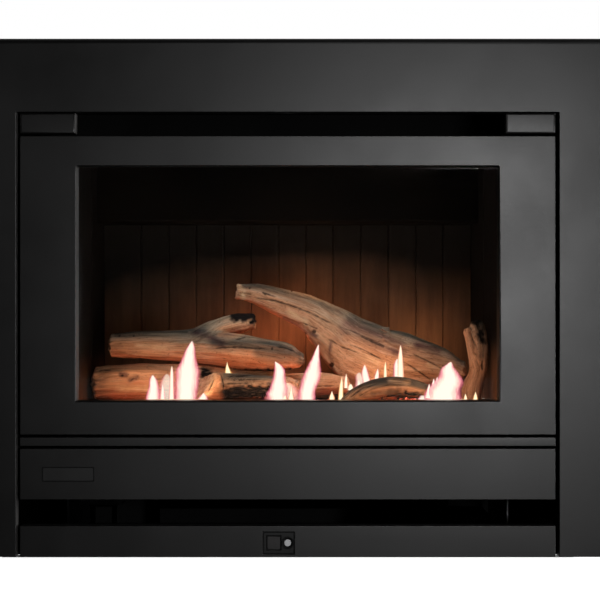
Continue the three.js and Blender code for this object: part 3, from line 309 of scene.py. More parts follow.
def galvanised():
    """Zinc coated steel with its spangle."""
    made = Finish("galvanised", Metallic=1.0)
    tone = made.node("ShaderNodeSeparateColor", {0: made.cells(120.0, output=1)}).outputs[0]
    cloud = made.noise(11.0, 5.0)
    made.feed(Base_Color=made.ramp(
        made.times(tone, cloud), (0.0, (0.44, 0.45, 0.46)), (0.6, (0.56, 0.57, 0.59)),
    ))
    made.feed(Roughness=made.span(made.sum(tone, cloud), 0.42, 0.5, 0.4, 1.4))
    made.bump(made.noise(500.0, 3.0), 0.00002)
    return made.material


def liner(name, clean, sooty, black):
    """Fibre board, painted brown. Soot and painted shade thicken from a clean height to the darkest one, and
    to both sides.
    """
    made = Finish(name, Specular_IOR_Level=0.2)
    across, _, height = made.node("ShaderNodeSeparateXYZ", {0: made.own}).outputs
    off = made.maths("SUBTRACT", across, 0.04)
    aside = made.times(made.times(off, off), 0.45)
    cloud = made.times(made.noise(9.0, 5.0), 0.06)
    # Soot and painted shade: the board darkens upwards, away from the flames, and towards its sides
    soot = made.span(made.sum(made.sum(height, aside), cloud), 0.0, 1.0, clean, sooty)
    grain = made.noise(60.0, 6.0, 0.65, (1, 1, 0.12))
    tone = made.ramp(grain, (0.3, (0.13, 0.07, 0.041)), (0.7, (0.24, 0.135, 0.076)))
    made.feed(Base_Color=made.mix(soot, tone, black), Roughness=made.span(grain, 0.8, 0.95))
    made.bump(made.noise(260.0, 6.0, 0.7, (1, 1, 0.2)), 0.0004, 0.6)
    return made.material


def log_fibre():
    """Cast fibre log, painted: fibres run along it, cracks are dark, char is black with ash on its scales.
    Painted firelight warms the faces turned down, and painted shade darkens marked places.
    """
    made = Finish("log_fibre", Specular_IOR_Level=0.15)
    run = made.mark("grain", "Vector")
    fibres = made.noise(1.0, 8.0, 0.75, (30, 520, 520), run)
    streaks = made.noise(1.0, 6.0, 0.65, (9, 150, 150), run, 0.4)
    patches = made.noise(24.0, 5.0, 0.6)
    top = made.sum(made.mark("top"), made.times(patches, 0.5))
    grey = made.ramp(
        streaks, (0.3, (0.15, 0.11, 0.08)), (0.5, (0.31, 0.245, 0.18)), (0.72, (0.48, 0.4, 0.31)),
    )
    tan = made.ramp(
        streaks, (0.3, (0.42, 0.2, 0.11)), (0.5, (0.66, 0.36, 0.21)), (0.72, (0.84, 0.56, 0.38)),
    )
    # Painted firelight: orange-red for the faces turned down towards the flames
    painted_firelight = made.ramp(streaks, (0.3, (0.3, 0.07, 0.03)), (0.6, (0.66, 0.2, 0.09)))
    stain = made.ramp(streaks, (0.35, (0.07, 0.03, 0.03)), (0.7, (0.27, 0.15, 0.13)))
    pale = made.ramp(fibres, (0.4, (0.7, 0.42, 0.22)), (0.6, (0.84, 0.66, 0.47)))
    # The tan share grows on faces turned down, as painted firelight; faces turned up stay grey, as if unlit
    firelight_and_tan = made.sum(made.span(top, 0.7, 0.0, 0.72, 1.05), made.mark("tan"))
    splits = made.noise(1.0, 2.0, 0.5, (7, 95, 95), run, 0.3)
    from_middle = made.maths("ABSOLUTE", made.maths("SUBTRACT", splits, 0.5))
    split = made.span(from_middle, 0.5, 0.0, 0.0, 0.007)
    colour = made.layers(
        grey,
        (made.span(made.sum(firelight_and_tan, patches), 0, 1, 0.45, 1.15), tan),
        (made.span(top, 0.85, 0.0, 0.42, 0.7), painted_firelight),
        (made.mark("stain"), stain),
        (made.span(fibres, 0.62, 0.0, 0.34, 0.5), (0.09, 0.055, 0.035)),
        (made.span(fibres, 0.0, 0.35, 0.55, 0.75), (0.8, 0.66, 0.5)),
        (split, (0.03, 0.018, 0.012)),
        (made.span(made.noise(330.0, 3.0, 0.6), 0.0, 0.6, 0.62, 0.69), (0.04, 0.025, 0.018)),
    )
    # Painted shade: the marked places are made darker and cooler, where the logs lie in shadow
    colour = made.mix(made.mark("dull"), colour, (0.24, 0.31, 0.38), "MULTIPLY")
    scales = made.cells(1.0, "DISTANCE_TO_EDGE", (75, 260, 260), run)
    ash = made.ramp(
        made.times(made.span(scales, 0, 1, 0.05, 0.3), streaks),
        (0.05, (0.004, 0.003, 0.003)), (0.3, (0.02, 0.016, 0.013)), (0.62, (0.11, 0.09, 0.07)),
    )
    colour = made.layers(
        colour,
        (made.mark("pale"), pale),
        (made.mark("char"), ash),
        # Soot, with painted shade along the undersides and shaded sides of the logs
        (made.mark("soot"), (0.008, 0.006, 0.006)),
        (made.times(made.mark("crack"), 0.85), (0.016, 0.01, 0.008)),
    )
    made.feed(Base_Color=colour, Roughness=made.span(fibres, 0.82, 0.97))
    made.bump(fibres, 0.0009, 0.9)
    made.bump(made.times(split, -1.0), 0.0008, 0.8)
    made.bump(scales, made.times(made.mark("char"), 0.0012), 0.8)
    return made.material


def flame_light():
    """Flame: cream core and rosy edges, or amber ones. The marks lie on the flame's own surface."""
    made = Finish(
        "flame", Base_Color=(0, 0, 0, 1), Specular_IOR_Level=0.0, Roughness=1.0, Emission_Strength=1.0,
    )
    licks = made.maths("SUBTRACT", made.noise(1.0, 3.0, 0.6, (420, 420, 70)), 0.5)
    body = made.maths("MULTIPLY_ADD", licks, 0.45, made.mark("edge"))
    rosy = made.ramp(
        body, (0.34, (1.25, 1.1, 0.94)), (0.55, (1.2, 0.82, 0.7)),
        (0.74, (1.1, 0.42, 0.46)), (0.96, (0.7, 0.1, 0.18)),
    )
    amber = made.ramp(body, (0.4, (1.25, 1.1, 0.75)), (0.65, (1.15, 0.75, 0.25)), (0.92, (0.7, 0.2, 0.05)))
    made.feed(Emission_Color=made.mix(made.mark("rosy"), amber, rosy))
    veil = made.span(body, 1.0, 0.0, 0.64, 1.0)
    tip = made.span(made.mark("rise"), 1.0, 0.7, 0.75, 1.0)
    made.feed(Alpha=made.times(made.times(veil, tip), made.mark("dense")))
    return made.material


def ember_glow():
    made = Finish("ember", Specular_IOR_Level=0.2, Emission_Strength=1.0)
    crust = made.noise(220.0, 6.0, 0.7)
    hot = made.times(made.mark("glow"), made.span(crust, 0, 1, 0.4, 0.6))
    made.feed(Base_Color=made.ramp(crust, (0.35, (0.012, 0.01, 0.009)), (0.7, (0.12, 0.1, 0.09))))
    made.feed(Emission_Color=made.ramp(
        hot, (0.05, (0, 0, 0)), (0.4, (0.6, 0.04, 0.025)), (0.9, (1.7, 0.36, 0.2)),
    ))
    made.feed(Roughness=made.span(crust, 0.8, 1.0))
    made.bump(crust, 0.001)
    return made.material


def rope():
    made = Finish("rope_gasket", Sheen_Weight=0.4, Specular_IOR_Level=0.2)
    weave = made.texture("ShaderNodeTexWave", None, None, {
        "Scale": 90.0, "Distortion": 2.5, "Detail": 2.0,
    }, bands_direction="DIAGONAL")["Fac"]
    made.feed(Base_Color=made.ramp(weave, (0.1, (0.16, 0.15, 0.14)), (0.9, (0.4, 0.38, 0.35))))
    made.feed(Roughness=made.span(weave, 0.85, 1.0))
    made.bump(weave, 0.0008)
    return made.material


def fire_glass():
    """Ceramic glass: clear, with a faint haze of wiped soot."""
    made = Finish("fire_glass", Roughness=0.0, Transmission_Weight=1.0, IOR=1.16)
    haze = made.noise(5.0, 6.0, 0.6, (1, 1, 2))
    made.feed(Base_Color=made.ramp(haze, (0.4, (0.98, 0.96, 0.94)), (0.75, (0.95, 0.93, 0.91))))
    made.bump(made.noise(3.0, 2.0), 0.00003)
    return made.material


def neutral(tone):
    return (tone, tone, tone)


POWDER_COAT = coated(
    "charcoal_powder_coat", (0.0038, 0.0037, 0.0037), (0.0048, 0.0046, 0.0046), 0.375, shine=0.25,
)
# The same powder coat made lighter for the returns: painted light on the reveals
RETURN_COAT_PAINTED_LIGHT = coated("powder_coat_return", (0.05, 0.048, 0.047), (0.062, 0.06, 0.058), 0.5, shine=0.25)
MATT_BLACK = coated("matt_black_paint", neutral(0.003), neutral(0.006), 0.8, shine=0.1)
HEAT_PAINT = coated(
    "heat_paint", (0.002, 0.0018, 0.0017), (0.006, 0.005, 0.004), 0.9, 0.00008, 700.0, 0.05,
)
BLACK_PLASTIC = coated("black_plastic", neutral(0.003), neutral(0.005), 0.5, 0.00004, 1800.0, 0.15)
DARK_LENS = coated("dark_lens", (0.005, 0.004, 0.004), (0.007, 0.005, 0.005), 0.36, 0.000005, 300.0, 0.3)
SILVER_PLASTIC = coated("silver_plastic", (0.36, 0.36, 0.37), (0.43, 0.43, 0.44), 0.32, 0.00001, 1500.0)
CERAMIC = coated(
    "white_ceramic", (0.72, 0.7, 0.64), (0.82, 0.8, 0.75), 0.2, 0.00001, 400.0, Coat_Weight=0.3,
)
BADGE = coated("badge_plate", neutral(0.008), neutral(0.011), 0.34, 0.00001, shine=0.3)
ALUMINIUM_SHEET = rolled("aluminium_sheet", (0.5, 0.5, 0.51), (0.75, 0.75, 0.76), 0.38, (0.1, 1, 1))
CAST_ALUMINIUM = rolled("cast_aluminium", (0.2, 0.2, 0.21), (0.4, 0.4, 0.41), 0.55, size=600.0, bump=0.00015)
BRASS = rolled("brass_pipe", (0.42, 0.28, 0.1), (0.72, 0.52, 0.22), 0.3, (0.15, 1, 1))
SCREW_STEEL = rolled("zinc_screw", (0.4, 0.4, 0.42), (0.7, 0.7, 0.72), 0.3)
GALVANISED = galvanised()
LINER = liner("liner_board", 0.315, 0.47, (0.006, 0.005, 0.004))
# The side boards carry more painted shade: it starts lower and ends blacker
SIDE_LINER = liner("side_liner_board", 0.25, 0.36, (0.003, 0.0026, 0.0022))
LOG_FIBRE = log_fibre()
FLAME = flame_light()
EMBER = ember_glow()
ROPE = rope()
GLASS = fire_glass()


# Making pieces

CORNER = math.radians(50)  # faces that meet at more than this are an edge
FOLD, SURROUND_FOLD = 0.003, 0.006  # outer radii of the folds in the CAD
FOLD_SLACK = 0.0002  # how far a corner of the CAD mesh may lie from the fold's arc
FOLD_MARGIN = 1.02  # to a fold's radius, within which its corners are looked for
INNER_SHARE = 2.0  # how far in the corner inside a widened fold ends, to where it was
FLAT = math.radians(0.3)  # faces that meet at less than this become one
SHEET = 0.002
TRAY_SHARE, OPENING_SHARE, OUTER_SHARE = 0.3, 0.15, 1.6  # of the folds' radii
OPENING_HALF, OPENING_TOP = 0.3805, 0.623  # inner edges of the surround
WINDOW = (-0.2965, 0.2185, 0.2965, 0.548)  # left, bottom, right and top edge of the door's cut-out
WINDOW_CORNER = 0.003
CUT_EDGE, BOARD_EDGE, MOULDED_EDGE, CAST_EDGE = 0.0003, 0.0005, 0.0006, 0.0008
LENS_EDGE, BUTTON_EDGE = 0.0002, 0.0014
LOOSE, CRUMB = 0.000002, 0.00001  # how near each other points are joined, for sheet and for logs


def owned(name, mesh, body):
    """A finished piece at the origin that rides on a body."""
    piece = bpy.data.objects.new(name, mesh)
    scene.collection.objects.link(piece)
    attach(piece, body)
    return piece


def maker_of(name, mesh):
    maker = bpy.data.objects.new(name + "_maker", mesh)
    scene.collection.objects.link(maker)
    return maker


def settled(maker):
    """The plain mesh that a maker object's modifiers end in. The maker is removed."""
    bpy.context.view_layer.update()
    graph = bpy.context.evaluated_depsgraph_get()
    mesh = bpy.data.meshes.new_from_object(
        maker.evaluated_get(graph), preserve_all_data_layers=True, depsgraph=graph,
    )
    bpy.data.objects.remove(maker)
    return mesh


def mesh_of(shape, name, *finishes, outwards=True):
    """The mesh of a shape, whose faces are turned outwards first."""
    if outwards:
        bmesh.ops.recalc_face_normals(shape, faces=shape.faces)
    mesh = bpy.data.meshes.new(name)
    shape.to_mesh(mesh)
    shape.free()
    for finish in finishes:
        mesh.materials.append(finish)
    return mesh


def walls(shape, rings, caps=False):
    """Faces between rings of points, and with caps over both ends. The last ring's cap is returned."""
    for a, b in zip(rings, rings[1:]):
        for i in range(len(a)):
            j = (i + 1) % len(a)
            shape.faces.new((a[i], a[j], b[j], b[i]))
    if caps:
        shape.faces.new(list(reversed(rings[0])))
        return shape.faces.new(rings[-1])


def merged(node, reach):
    """The shape of a CAD node, with its loose triangles joined."""
    shape = bmesh.new()
    shape.from_mesh(frame["nodes"][node].data)
    bmesh.ops.remove_doubles(shape, verts=shape.verts, dist=reach)
    return shape


def mark_points(mesh, **marks):
    """Numbers or directions on the points of a mesh, for its finish or its node tree."""
    for name, values in marks.items():
        values = np.asarray(values, np.float32)
        kind, field = ("FLOAT", "value") if values.ndim == 1 else ("FLOAT_VECTOR", "vector")
        mesh.attributes.new(name, kind, "POINT").data.foreach_set(field, values.ravel())


def joined_copy(node):
    """A copy of a CAD node's mesh with clean flat faces and sharp corners."""
    shape = merged(node, LOOSE)
    bmesh.ops.dissolve_limit(shape, angle_limit=FLAT, verts=shape.verts, edges=shape.edges)
    for edge in shape.edges:
        edge.smooth = not edge.is_manifold or edge.calc_face_angle(0) < CORNER
    for face in shape.faces:
        face.smooth = True
    return mesh_of(shape, node + "_dressed", outwards=False)


def drawn_in(mesh, node, radius, share, edges_near):
    """The round front edges of a folded piece, drawn to a share of their radius.

    edges_near(x, z) gives, for each edge, how far the place lies from it and the way to it. Where a fold
    gets wider, the corner inside it moves in as well, so that the sheet stays closed.
    """
    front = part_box(node)[0].y
    for vertex in mesh.vertices:
        depth = vertex.co.y - front
        for off, way in edges_near(vertex.co.x, vertex.co.z):
            if max(off, depth) > radius * FOLD_MARGIN:
                continue
            if abs(math.hypot(radius - off, radius - depth) - radius) < FOLD_SLACK:
                scale = share
            elif share > 1 and max(abs(off - SHEET), abs(depth - SHEET)) < FOLD_SLACK:
                scale = INNER_SHARE
            else:
                continue
            vertex.co.x += (1 - scale) * off * way[0]
            vertex.co.z += (1 - scale) * off * way[1]
            vertex.co.y = front + scale * depth
    mesh.update()


def dressed(node, material, slot, edge, second=None, where=None, shaped=None):
    """The CAD node again, with its folded and cut edges softened.

    A second finish goes on the faces that a test picks.
    """
    mesh = joined_copy(node)
    if shaped:
        shaped(mesh)
    mesh.materials.clear()
    mesh.materials.append(material)
    if second:
        mesh.materials.append(second)
        for face in mesh.polygons:
            face.material_index = where(face)
    maker = maker_of(node, mesh)
    if edge:
        soft = maker.modifiers.new("soft_edges", "BEVEL")
        soft.width = edge
        soft.segments = 2
        soft.limit_method = "ANGLE"
        soft.angle_limit = CORNER
        soft.use_clamp_overlap = True
    even = maker.modifiers.new("even_faces", "WEIGHTED_NORMAL")
    even.keep_sharp = True
    piece = owned(node + "_dressed", settled(maker), body_of(frame["nodes"][node])[0])
    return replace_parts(piece, node)


def is_return(face):
    """A side of a fold or of a cut-out, behind the face. These take the lighter coat, as painted light."""
    inner = abs(face.center.x) < cad_box[1].x - 0.01 and face.center.y > FACE + 0.001
    return abs(face.normal.x) > 0.7 and inner


def is_inside(face):
    """Towards the middle of the casing, or forwards."""
    return face.normal.dot(Vector((0, 0, 0.3)) - face.center) > 0 or face.normal.y < -0.5


def opening_edges(x, z):
    return [(abs(x) - OPENING_HALF, (-math.copysign(1, x), 0)), (z - OPENING_TOP, (0, -1))]


def outer_edges(x, z):
    return [(cad_box[1].x - abs(x), (math.copysign(1, x), 0)), (cad_box[1].z - z, (0, 1))]


def window_edge(x, z):
    """The edge of the door's cut-out, round its corners."""
    left, bottom, right, top = WINDOW
    dx, dz = x - (left + right) / 2, z - (bottom + top) / 2
    over_x = abs(dx) - ((right - left) / 2 - WINDOW_CORNER)
    over_z = abs(dz) - ((top - bottom) / 2 - WINDOW_CORNER)
    if over_x > 0 and over_z > 0:
        away = math.hypot(over_x, over_z)
        way = (over_x / away, over_z / away)
    else:
        away = max(over_x, over_z)
        way = (1, 0) if over_x > over_z else (0, 1)
    return [(away - WINDOW_CORNER, (-math.copysign(way[0], dx), -math.copysign(way[1], dz)))]


def tray_edges(node):
    low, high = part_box(node)
    return lambda x, z: [
        (x - low.x, (-1, 0)), (high.x - x, (1, 0)), (z - low.z, (0, -1)), (high.z - z, (0, 1)),
    ] + (window_edge(x, z) if node == "door_frame" else [])


def folded(node):
    """What reshapes the folds of a face panel: sharper than in the CAD, but rounder round the surround."""
    plans = [(FOLD, TRAY_SHARE, tray_edges(node))]
    if node == "surround":
        plans = [(SURROUND_FOLD, OPENING_SHARE, opening_edges), (SURROUND_FOLD, OUTER_SHARE, outer_edges)]

    def shaped(mesh):
        for plan in plans:
            drawn_in(mesh, node, *plan)

    return shaped


# The returns of the face panels and of the outlet blocks take the lighter coat: painted light
for node in ("surround", "door_frame", "lower_panel", "bottom_panel", "trim_strip"):
    dressed(node, POWDER_COAT, "black_powder_coat", CUT_EDGE, RETURN_COAT_PAINTED_LIGHT, is_return, folded(node))
for nodes, *looks in (
    ("outlet_block_left outlet_block_right",
     POWDER_COAT, "black_powder_coat", MOULDED_EDGE, RETURN_COAT_PAINTED_LIGHT, is_return),
    ("outlet_roof outlet_floor", MATT_BLACK, "matt_black_paint", 0),
    ("switch_plate control_box cable_gland", BLACK_PLASTIC, "black_plastic", MOULDED_EDGE),
    ("receiver_window", DARK_LENS, "dark_lens", LENS_EDGE),
    ("power_button", SILVER_PLASTIC, "silver_plastic", BUTTON_EDGE),
    ("valve_bracket", MATT_BLACK, "matt_black_paint", CUT_EDGE),
    ("casing_left casing_right casing_base casing_top casing_back",
     GALVANISED, "galvanised_sheet", CUT_EDGE, MATT_BLACK, is_inside),
    ("fan_scroll fan_tongue fan_end_plate_left fan_end_plate_right",
     MATT_BLACK, "matt_black_paint", CUT_EDGE),
    ("support_left support_right flue_pipe flue_collar combustion_air_box "
     "glass_retainer_top glass_retainer_bottom glass_retainer_left glass_retainer_right",
     GALVANISED, "galvanised_sheet", CUT_EDGE),
    ("firebox_front_frame firebox_floor firebox_top firebox_left firebox_right firebox_back "
     "baffle_hood burner_tray burner_venturi",
     HEAT_PAINT, "heat_paint", CUT_EDGE),
    ("rear_liner", LINER, "liner_board", BOARD_EDGE),
    ("left_liner right_liner", SIDE_LINER, "liner_board", BOARD_EDGE),
    ("fan_motor gas_valve", CAST_ALUMINIUM, "cast_aluminium", CAST_EDGE),
    ("gas_inlet_pipe gas_feed_pipe", BRASS, "brass_pipe", CUT_EDGE),
    ("fan_rotor", ALUMINIUM_SHEET, "aluminium_sheet", 0),
    ("spark_electrode", CERAMIC, "white_ceramic", CUT_EDGE),
    ("glass_gasket", ROPE, "rope_gasket", 0),
    ("glass_pane", GLASS, "fire_glass", 0),
):
    for node in nodes.split():
        dressed(node, *looks)


def screened(name, nodes):
    """A list of dressed pieces that a lamp leaves unlit."""
    unlit = bpy.data.collections.new(name)
    for node in nodes.split():
        unlit.objects.link(bpy.data.objects[node + "_dressed"])
    for member in unlit.collection_objects:
        member.light_linking.link_state = "EXCLUDE"
    return unlit


# The front lights are screened off from the glass, where they would stand as windows of light, from the
# metal that the two air slots show, and from the left liner
screen = screened("screened_in_front", (
    "glass_pane gas_valve fan_motor support_left support_right casing_left casing_right gas_inlet_pipe "
    "gas_feed_pipe control_box fan_scroll fan_end_plate_left fan_end_plate_right fan_tongue valve_bracket "
    "outlet_roof outlet_floor combustion_air_box left_liner"
))
key.light_linking.receiver_collection = side_light.light_linking.receiver_collection = screen
# The surround's round top edge is dark in the photograph
rear_light.light_linking.receiver_collection = screened("screened_from_behind", "surround")


# Small trim: badge plate, left bare, and thin frames round the switch plate and the receiver window

SLAB_EDGE = 0.15  # of a slab's thickness, for its sloping edge
BADGE_PIXELS = ((41.9, 481.9), (94.4, 466.9))  # its lower left and upper right corner in the picture
BADGE_PROUD, BADGE_RIM, BADGE_SINK = 0.0008, 0.0014, 0.0003
BADGE_CORNER, FRAME_CORNER = 0.0015, 0.0012  # radii


def slab(name, outline, front, back, rim, sink, body, *finishes):
    """A thin plate facing forwards: a rim along an outline of (x, z), and a field that sinks by so much.

    With one finish it has no field and is an open frame.
    """
    shape = bmesh.new()
    middle = sum((Vector(p) for p in outline), Vector((0, 0))) / len(outline)

    def ring(y, inset):
        verts = []
        for place in outline:
            off = Vector(place) - middle
            shift = Vector((math.copysign(inset, off.x), math.copysign(inset, off.y)))
            verts.append(shape.verts.new((place[0] - shift.x, y, place[1] - shift.y)))
        return verts

    has_field = len(finishes) == 2
    edge = SLAB_EDGE * (back - front)
    inner = (front + sink, rim + sink) if has_field else (back, rim)
    rings = [ring(*place) for place in ((back, 0), (front + edge, 0), (front, edge), (front, rim), inner)]
    if has_field:
        walls(shape, rings, caps=True).material_index = 1
    else:
        walls(shape, rings + rings[:1])
    return owned(name, mesh_of(shape, name, *finishes), body)


def rounded(low, high, radius, steps=5):
    """The outline of a rectangle with round corners."""
    outline = []
    for corner, (x, z) in enumerate(((high.x, high.z), (low.x, high.z), (low.x, low.z), (high.x, low.z))):
        for step in range(steps + 1):
            turn = math.pi / 2 * (corner + step / steps)
            inward = (math.copysign(radius, x - low.x - 1e-6), math.copysign(radius, z - low.z - 1e-6))
            outline.append((x - inward[0] + radius * math.cos(turn), z - inward[1] + radius * math.sin(turn)))
    return outline


panel_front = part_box("lower_panel")[0].y
badge_outline = rounded(*(seen(*pixel, 0) for pixel in BADGE_PIXELS), BADGE_CORNER)
slab(
    "badge_plate", badge_outline, panel_front - BADGE_PROUD, panel_front, BADGE_RIM, BADGE_SINK,
    "lower_panel", MATT_BLACK, BADGE,
)
for node, rim, proud in (("switch_plate", 0.0015, 0.0004), ("receiver_window", 0.0013, 0.0003)):
    low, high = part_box(node)
    outline = rounded(low, high, FRAME_CORNER)
    slab(node + "_frame", outline, low.y - proud, low.y, rim, 0, "fire", MATT_BLACK)


# Ring round the power button: a profile of (radius, height over the plate), turned

def turned(name, profile, centre, front, finish, sides=48):
    """A closed profile turned about an axis that runs front to back."""
    shape = bmesh.new()
    rings = []
    for turn in (2 * math.pi * side / sides for side in range(sides)):
        rings.append([
            shape.verts.new((centre.x + r * math.cos(turn), front - rise, centre.z + r * math.sin(turn)))
            for r, rise in profile
        ])
    walls(shape, rings + rings[:1])
    mesh = mesh_of(shape, name, finish)
    mesh.shade_smooth()
    return mesh


button_low, button_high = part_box("power_button")
RING_OUT, RING_IN = 0.0088, (button_high.x - button_low.x) / 2 + 0.0005
RING_PROFILE = (
    (RING_IN, 0), (RING_IN, 0.0001), (0.55 * RING_IN + 0.45 * RING_OUT, 0.0003),
    (RING_OUT - 0.0008, 0.001), (RING_OUT - 0.0003, 0.001), (RING_OUT, 0.0006), (RING_OUT, 0),
)
plate_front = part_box("switch_plate")[0].y
button_ring = turned("button_ring", RING_PROFILE, (button_low + button_high) / 2, plate_front, MATT_BLACK)
owned("button_ring", button_ring, "fire")


# Node trees that set copies on points

class Growth(Nodes):
    """A geometry node tree with named inputs, given as (kind, value), and one output."""

    def __init__(self, name, **inputs):
        super().__init__(bpy.data.node_groups.new(name, "GeometryNodeTree"))
        for label, (kind, *value) in inputs.items():
            self.socket(label.replace("_", " "), "INPUT", kind, *value)
        self.socket("Result", "OUTPUT", "Geometry")
        self.given = self.node("NodeGroupInput").outputs

    def socket(self, label, way, kind, *value):
        made = self.tree.interface.new_socket(label, in_out=way, socket_type="NodeSocket" + kind)
        if value:
            made.default_value = value[0]

    def random(self, low, high, seed):
        """A vector between two, for each point."""
        limits = {0: low, 1: high, "Seed": seed}
        return self.node("FunctionNodeRandomValue", limits, data_type="FLOAT_VECTOR").outputs[0]

    def copies(self, points, shape, turn, scale):
        """Copies of a shape on points, as real mesh."""
        set_out = self.node("GeometryNodeInstanceOnPoints", {
            "Points": points, "Instance": shape, "Rotation": turn, "Scale": scale,
        }).outputs[0]
        return self.node("GeometryNodeRealizeInstances", {0: set_out}).outputs[0]

    def ends(self, geometry):
        """The tree ends with this geometry in its finish."""
        inputs = {"Geometry": geometry, "Material": self.given["Finish"]}
        finished = self.node("GeometryNodeSetMaterial", inputs).outputs[0]
        self.node("NodeGroupOutput", {"Result": finished})
        return self.tree


def grown(name, mesh, tree, **inputs):
    """The plain mesh that a node tree makes from a start mesh, with its named inputs set."""
    maker = maker_of(name, mesh)
    growth = maker.modifiers.new("growth", "NODES")
    growth.node_group = tree
    for item in tree.interface.items_tree:
        key = item.name.replace(" ", "_")
        if item.in_out == "INPUT" and key in inputs:
            growth[item.identifier] = inputs[key]
    return settled(maker)


# Screws, on points that carry the direction they face

def screw_head():
    """A pan head of radius 1 that faces up, with a cross recess."""
    shape = bmesh.new()
    around = [math.radians(-15 + 30 * i) for i in range(12)]
    rings = [
        [(r * math.cos(t), r * math.sin(t), z) for t in around]
        for r, z in ((1, 0), (1, 0.35), (0.78, 0.6), (0.5, 0.66))
    ]
    arm, wide = 0.38, 0.09
    cross = []
    for quarter in range(4):
        c, s = math.cos(math.pi / 2 * quarter), math.sin(math.pi / 2 * quarter)
        cross += [(c * x - s * y, s * x + c * y) for x, y in ((arm, -wide), (arm, wide), (wide, wide))]
    rings += [[(x, y, z) for x, y in cross] for z in (0.66, 0.36)]
    walls(shape, [[shape.verts.new(place) for place in ring] for ring in rings], caps=True)
    return mesh_of(shape, "screw_head")


def set_screws():
    """Screws that face as their points say, each turned by chance."""
    made = Growth(
        "set_screws", Points=("Geometry",), Screw=("Object",), Radius=("Float", 0.004), Finish=("Material",),
    )
    facing = made.node(
        "GeometryNodeInputNamedAttribute", {"Name": "facing"}, data_type="FLOAT_VECTOR",
    ).outputs["Attribute"]
    outwards = made.node("FunctionNodeAlignRotationToVector", {"Vector": facing}, axis="Z").outputs[0]
    spin = made.random((0, 0, -1.5), (0, 0, 1.5), 5)
    turn = made.node("FunctionNodeRotateRotation", {0: outwards, 1: spin}, rotation_space="LOCAL").outputs[0]
    head = made.node("GeometryNodeObjectInfo", {"Object": made.given["Screw"]}).outputs["Geometry"]
    return made.ends(made.copies(made.given["Points"], head, turn, made.given["Radius"]))


def screws(name, body, radius, *groups):
    """One mesh of screws. A group is (direction that they face, places)."""
    points = bpy.data.meshes.new(name + "_points")
    points.from_pydata([Vector(place) for _, group in groups for place in group], [], [])
    mark_points(points, facing=[facing for facing, group in groups for _ in group])
    mesh = grown(name, points, SCREW_TREE, Screw=screw, Radius=radius, Finish=SCREW_STEEL)
    owned(name, mesh, body)


SCREW_TREE = set_screws()
SCREW_INSET, SIDE_ROW_INSET, COLUMN_INSET = 0.012, 0.05, 0.03  # from the edges of the casing
FLANGE_RISE, BOLT_INSET = 0.0023, 0.007  # of the flue's flange, over the casing and from its edge
RETAINER_SHARE = 0.4  # of a strip's length, from its middle to its outer screws
CASING_SCREW, FLANGE_SCREW, RETAINER_SCREW = 0.004, 0.0035, 0.003  # radii of the heads
ACROSS = (-0.3, -0.1, 0.1, 0.3)  # where the casing's rows along its width have screws
screw = maker_of("screw", screw_head())
case_low, case_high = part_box("casing_right")
case_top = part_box("casing_top")[1].z
case_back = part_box("casing_back")[1].y
column = [case_low.z + COLUMN_INSET + i * (case_top - 2 * COLUMN_INSET) / 3 for i in range(4)]
side = case_high.x - SCREW_INSET
back_screws = [(x, case_back, z) for x in (-side, side) for z in column]
back_screws += [(x, case_back, z) for x in ACROSS for z in (case_low.z + SCREW_INSET, case_top - SCREW_INSET)]
top_rows = (case_low.y + SCREW_INSET, case_back - SCREW_INSET)
side_rows = (case_low.y + SIDE_ROW_INSET, case_back - SCREW_INSET)
screws(
    "casing_screws", "fire", CASING_SCREW,
    ((0, 1, 0), back_screws),
    ((0, 0, 1), [(x, y, case_top) for x in (-side, *ACROSS, side) for y in top_rows]),
    *(((way, 0, 0), [(way * case_high.x, y, z) for y in side_rows for z in column]) for way in (1, -1)),
)
collar_low, collar_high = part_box("flue_collar")
middle = (collar_low + collar_high) / 2
flange_rear = case_back + FLANGE_RISE
bolt_circle = (collar_high.x - collar_low.x) / 2 - BOLT_INSET
screws("flue_flange_screws", "fire", FLANGE_SCREW, ((0, 1, 0), [
    (middle.x + bolt_circle * math.cos(turn), flange_rear, middle.z + bolt_circle * math.sin(turn))
    for turn in (math.pi / 6 + i * math.pi / 3 for i in range(6))
]))
retainer_screws = []
for place in ("top", "bottom", "left", "right"):
    low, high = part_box("glass_retainer_" + place)
    middle, reach = (low + high) / 2, (high - low) * RETAINER_SHARE
    x, z = (reach.x, 0) if place in ("top", "bottom") else (0, reach.z)
    retainer_screws += [(middle.x + way * x, high.y, middle.z + way * z) for way in (-1, 0, 1)]
screws("retainer_screws", "glass_front", RETAINER_SCREW, ((0, 1, 0), retainer_screws))
bpy.data.objects.remove(screw)


# Fibre logs

SKIN = 0.0013  # size of a face of the carved skin
SMOOTHING = 34  # rounds
PULL_IN, LET_OUT = 0.6, -0.62  # shares of the way to the middle of a point's neighbours
AXIS_POINTS = 60  # on a log's axis, once it is made finer
BRANCH_SHIFT = (0.7, 0, 0.3)  # between the grain of a log's axes, so that branches differ
FLUTE_WAVES, FIBRE_WAVES = (11, 130, 130), (40, 420, 420)  # to a metre, along and across the grain
LUMP_WAVES, TORN_WAVES = (30, 34, 34), (70, 300, 300)
FLUTE_DEPTH, FIBRE_DEPTH, LUMP_DEPTH, TORN_DEPTH = 0.0009, 0.0003, 0.0009, 0.0028
CRACK_DEPTH, CHAR_DEPTH = 0.0016, 0.0008
TORN_END = 0.012  # how far the torn wood reaches from a log's end


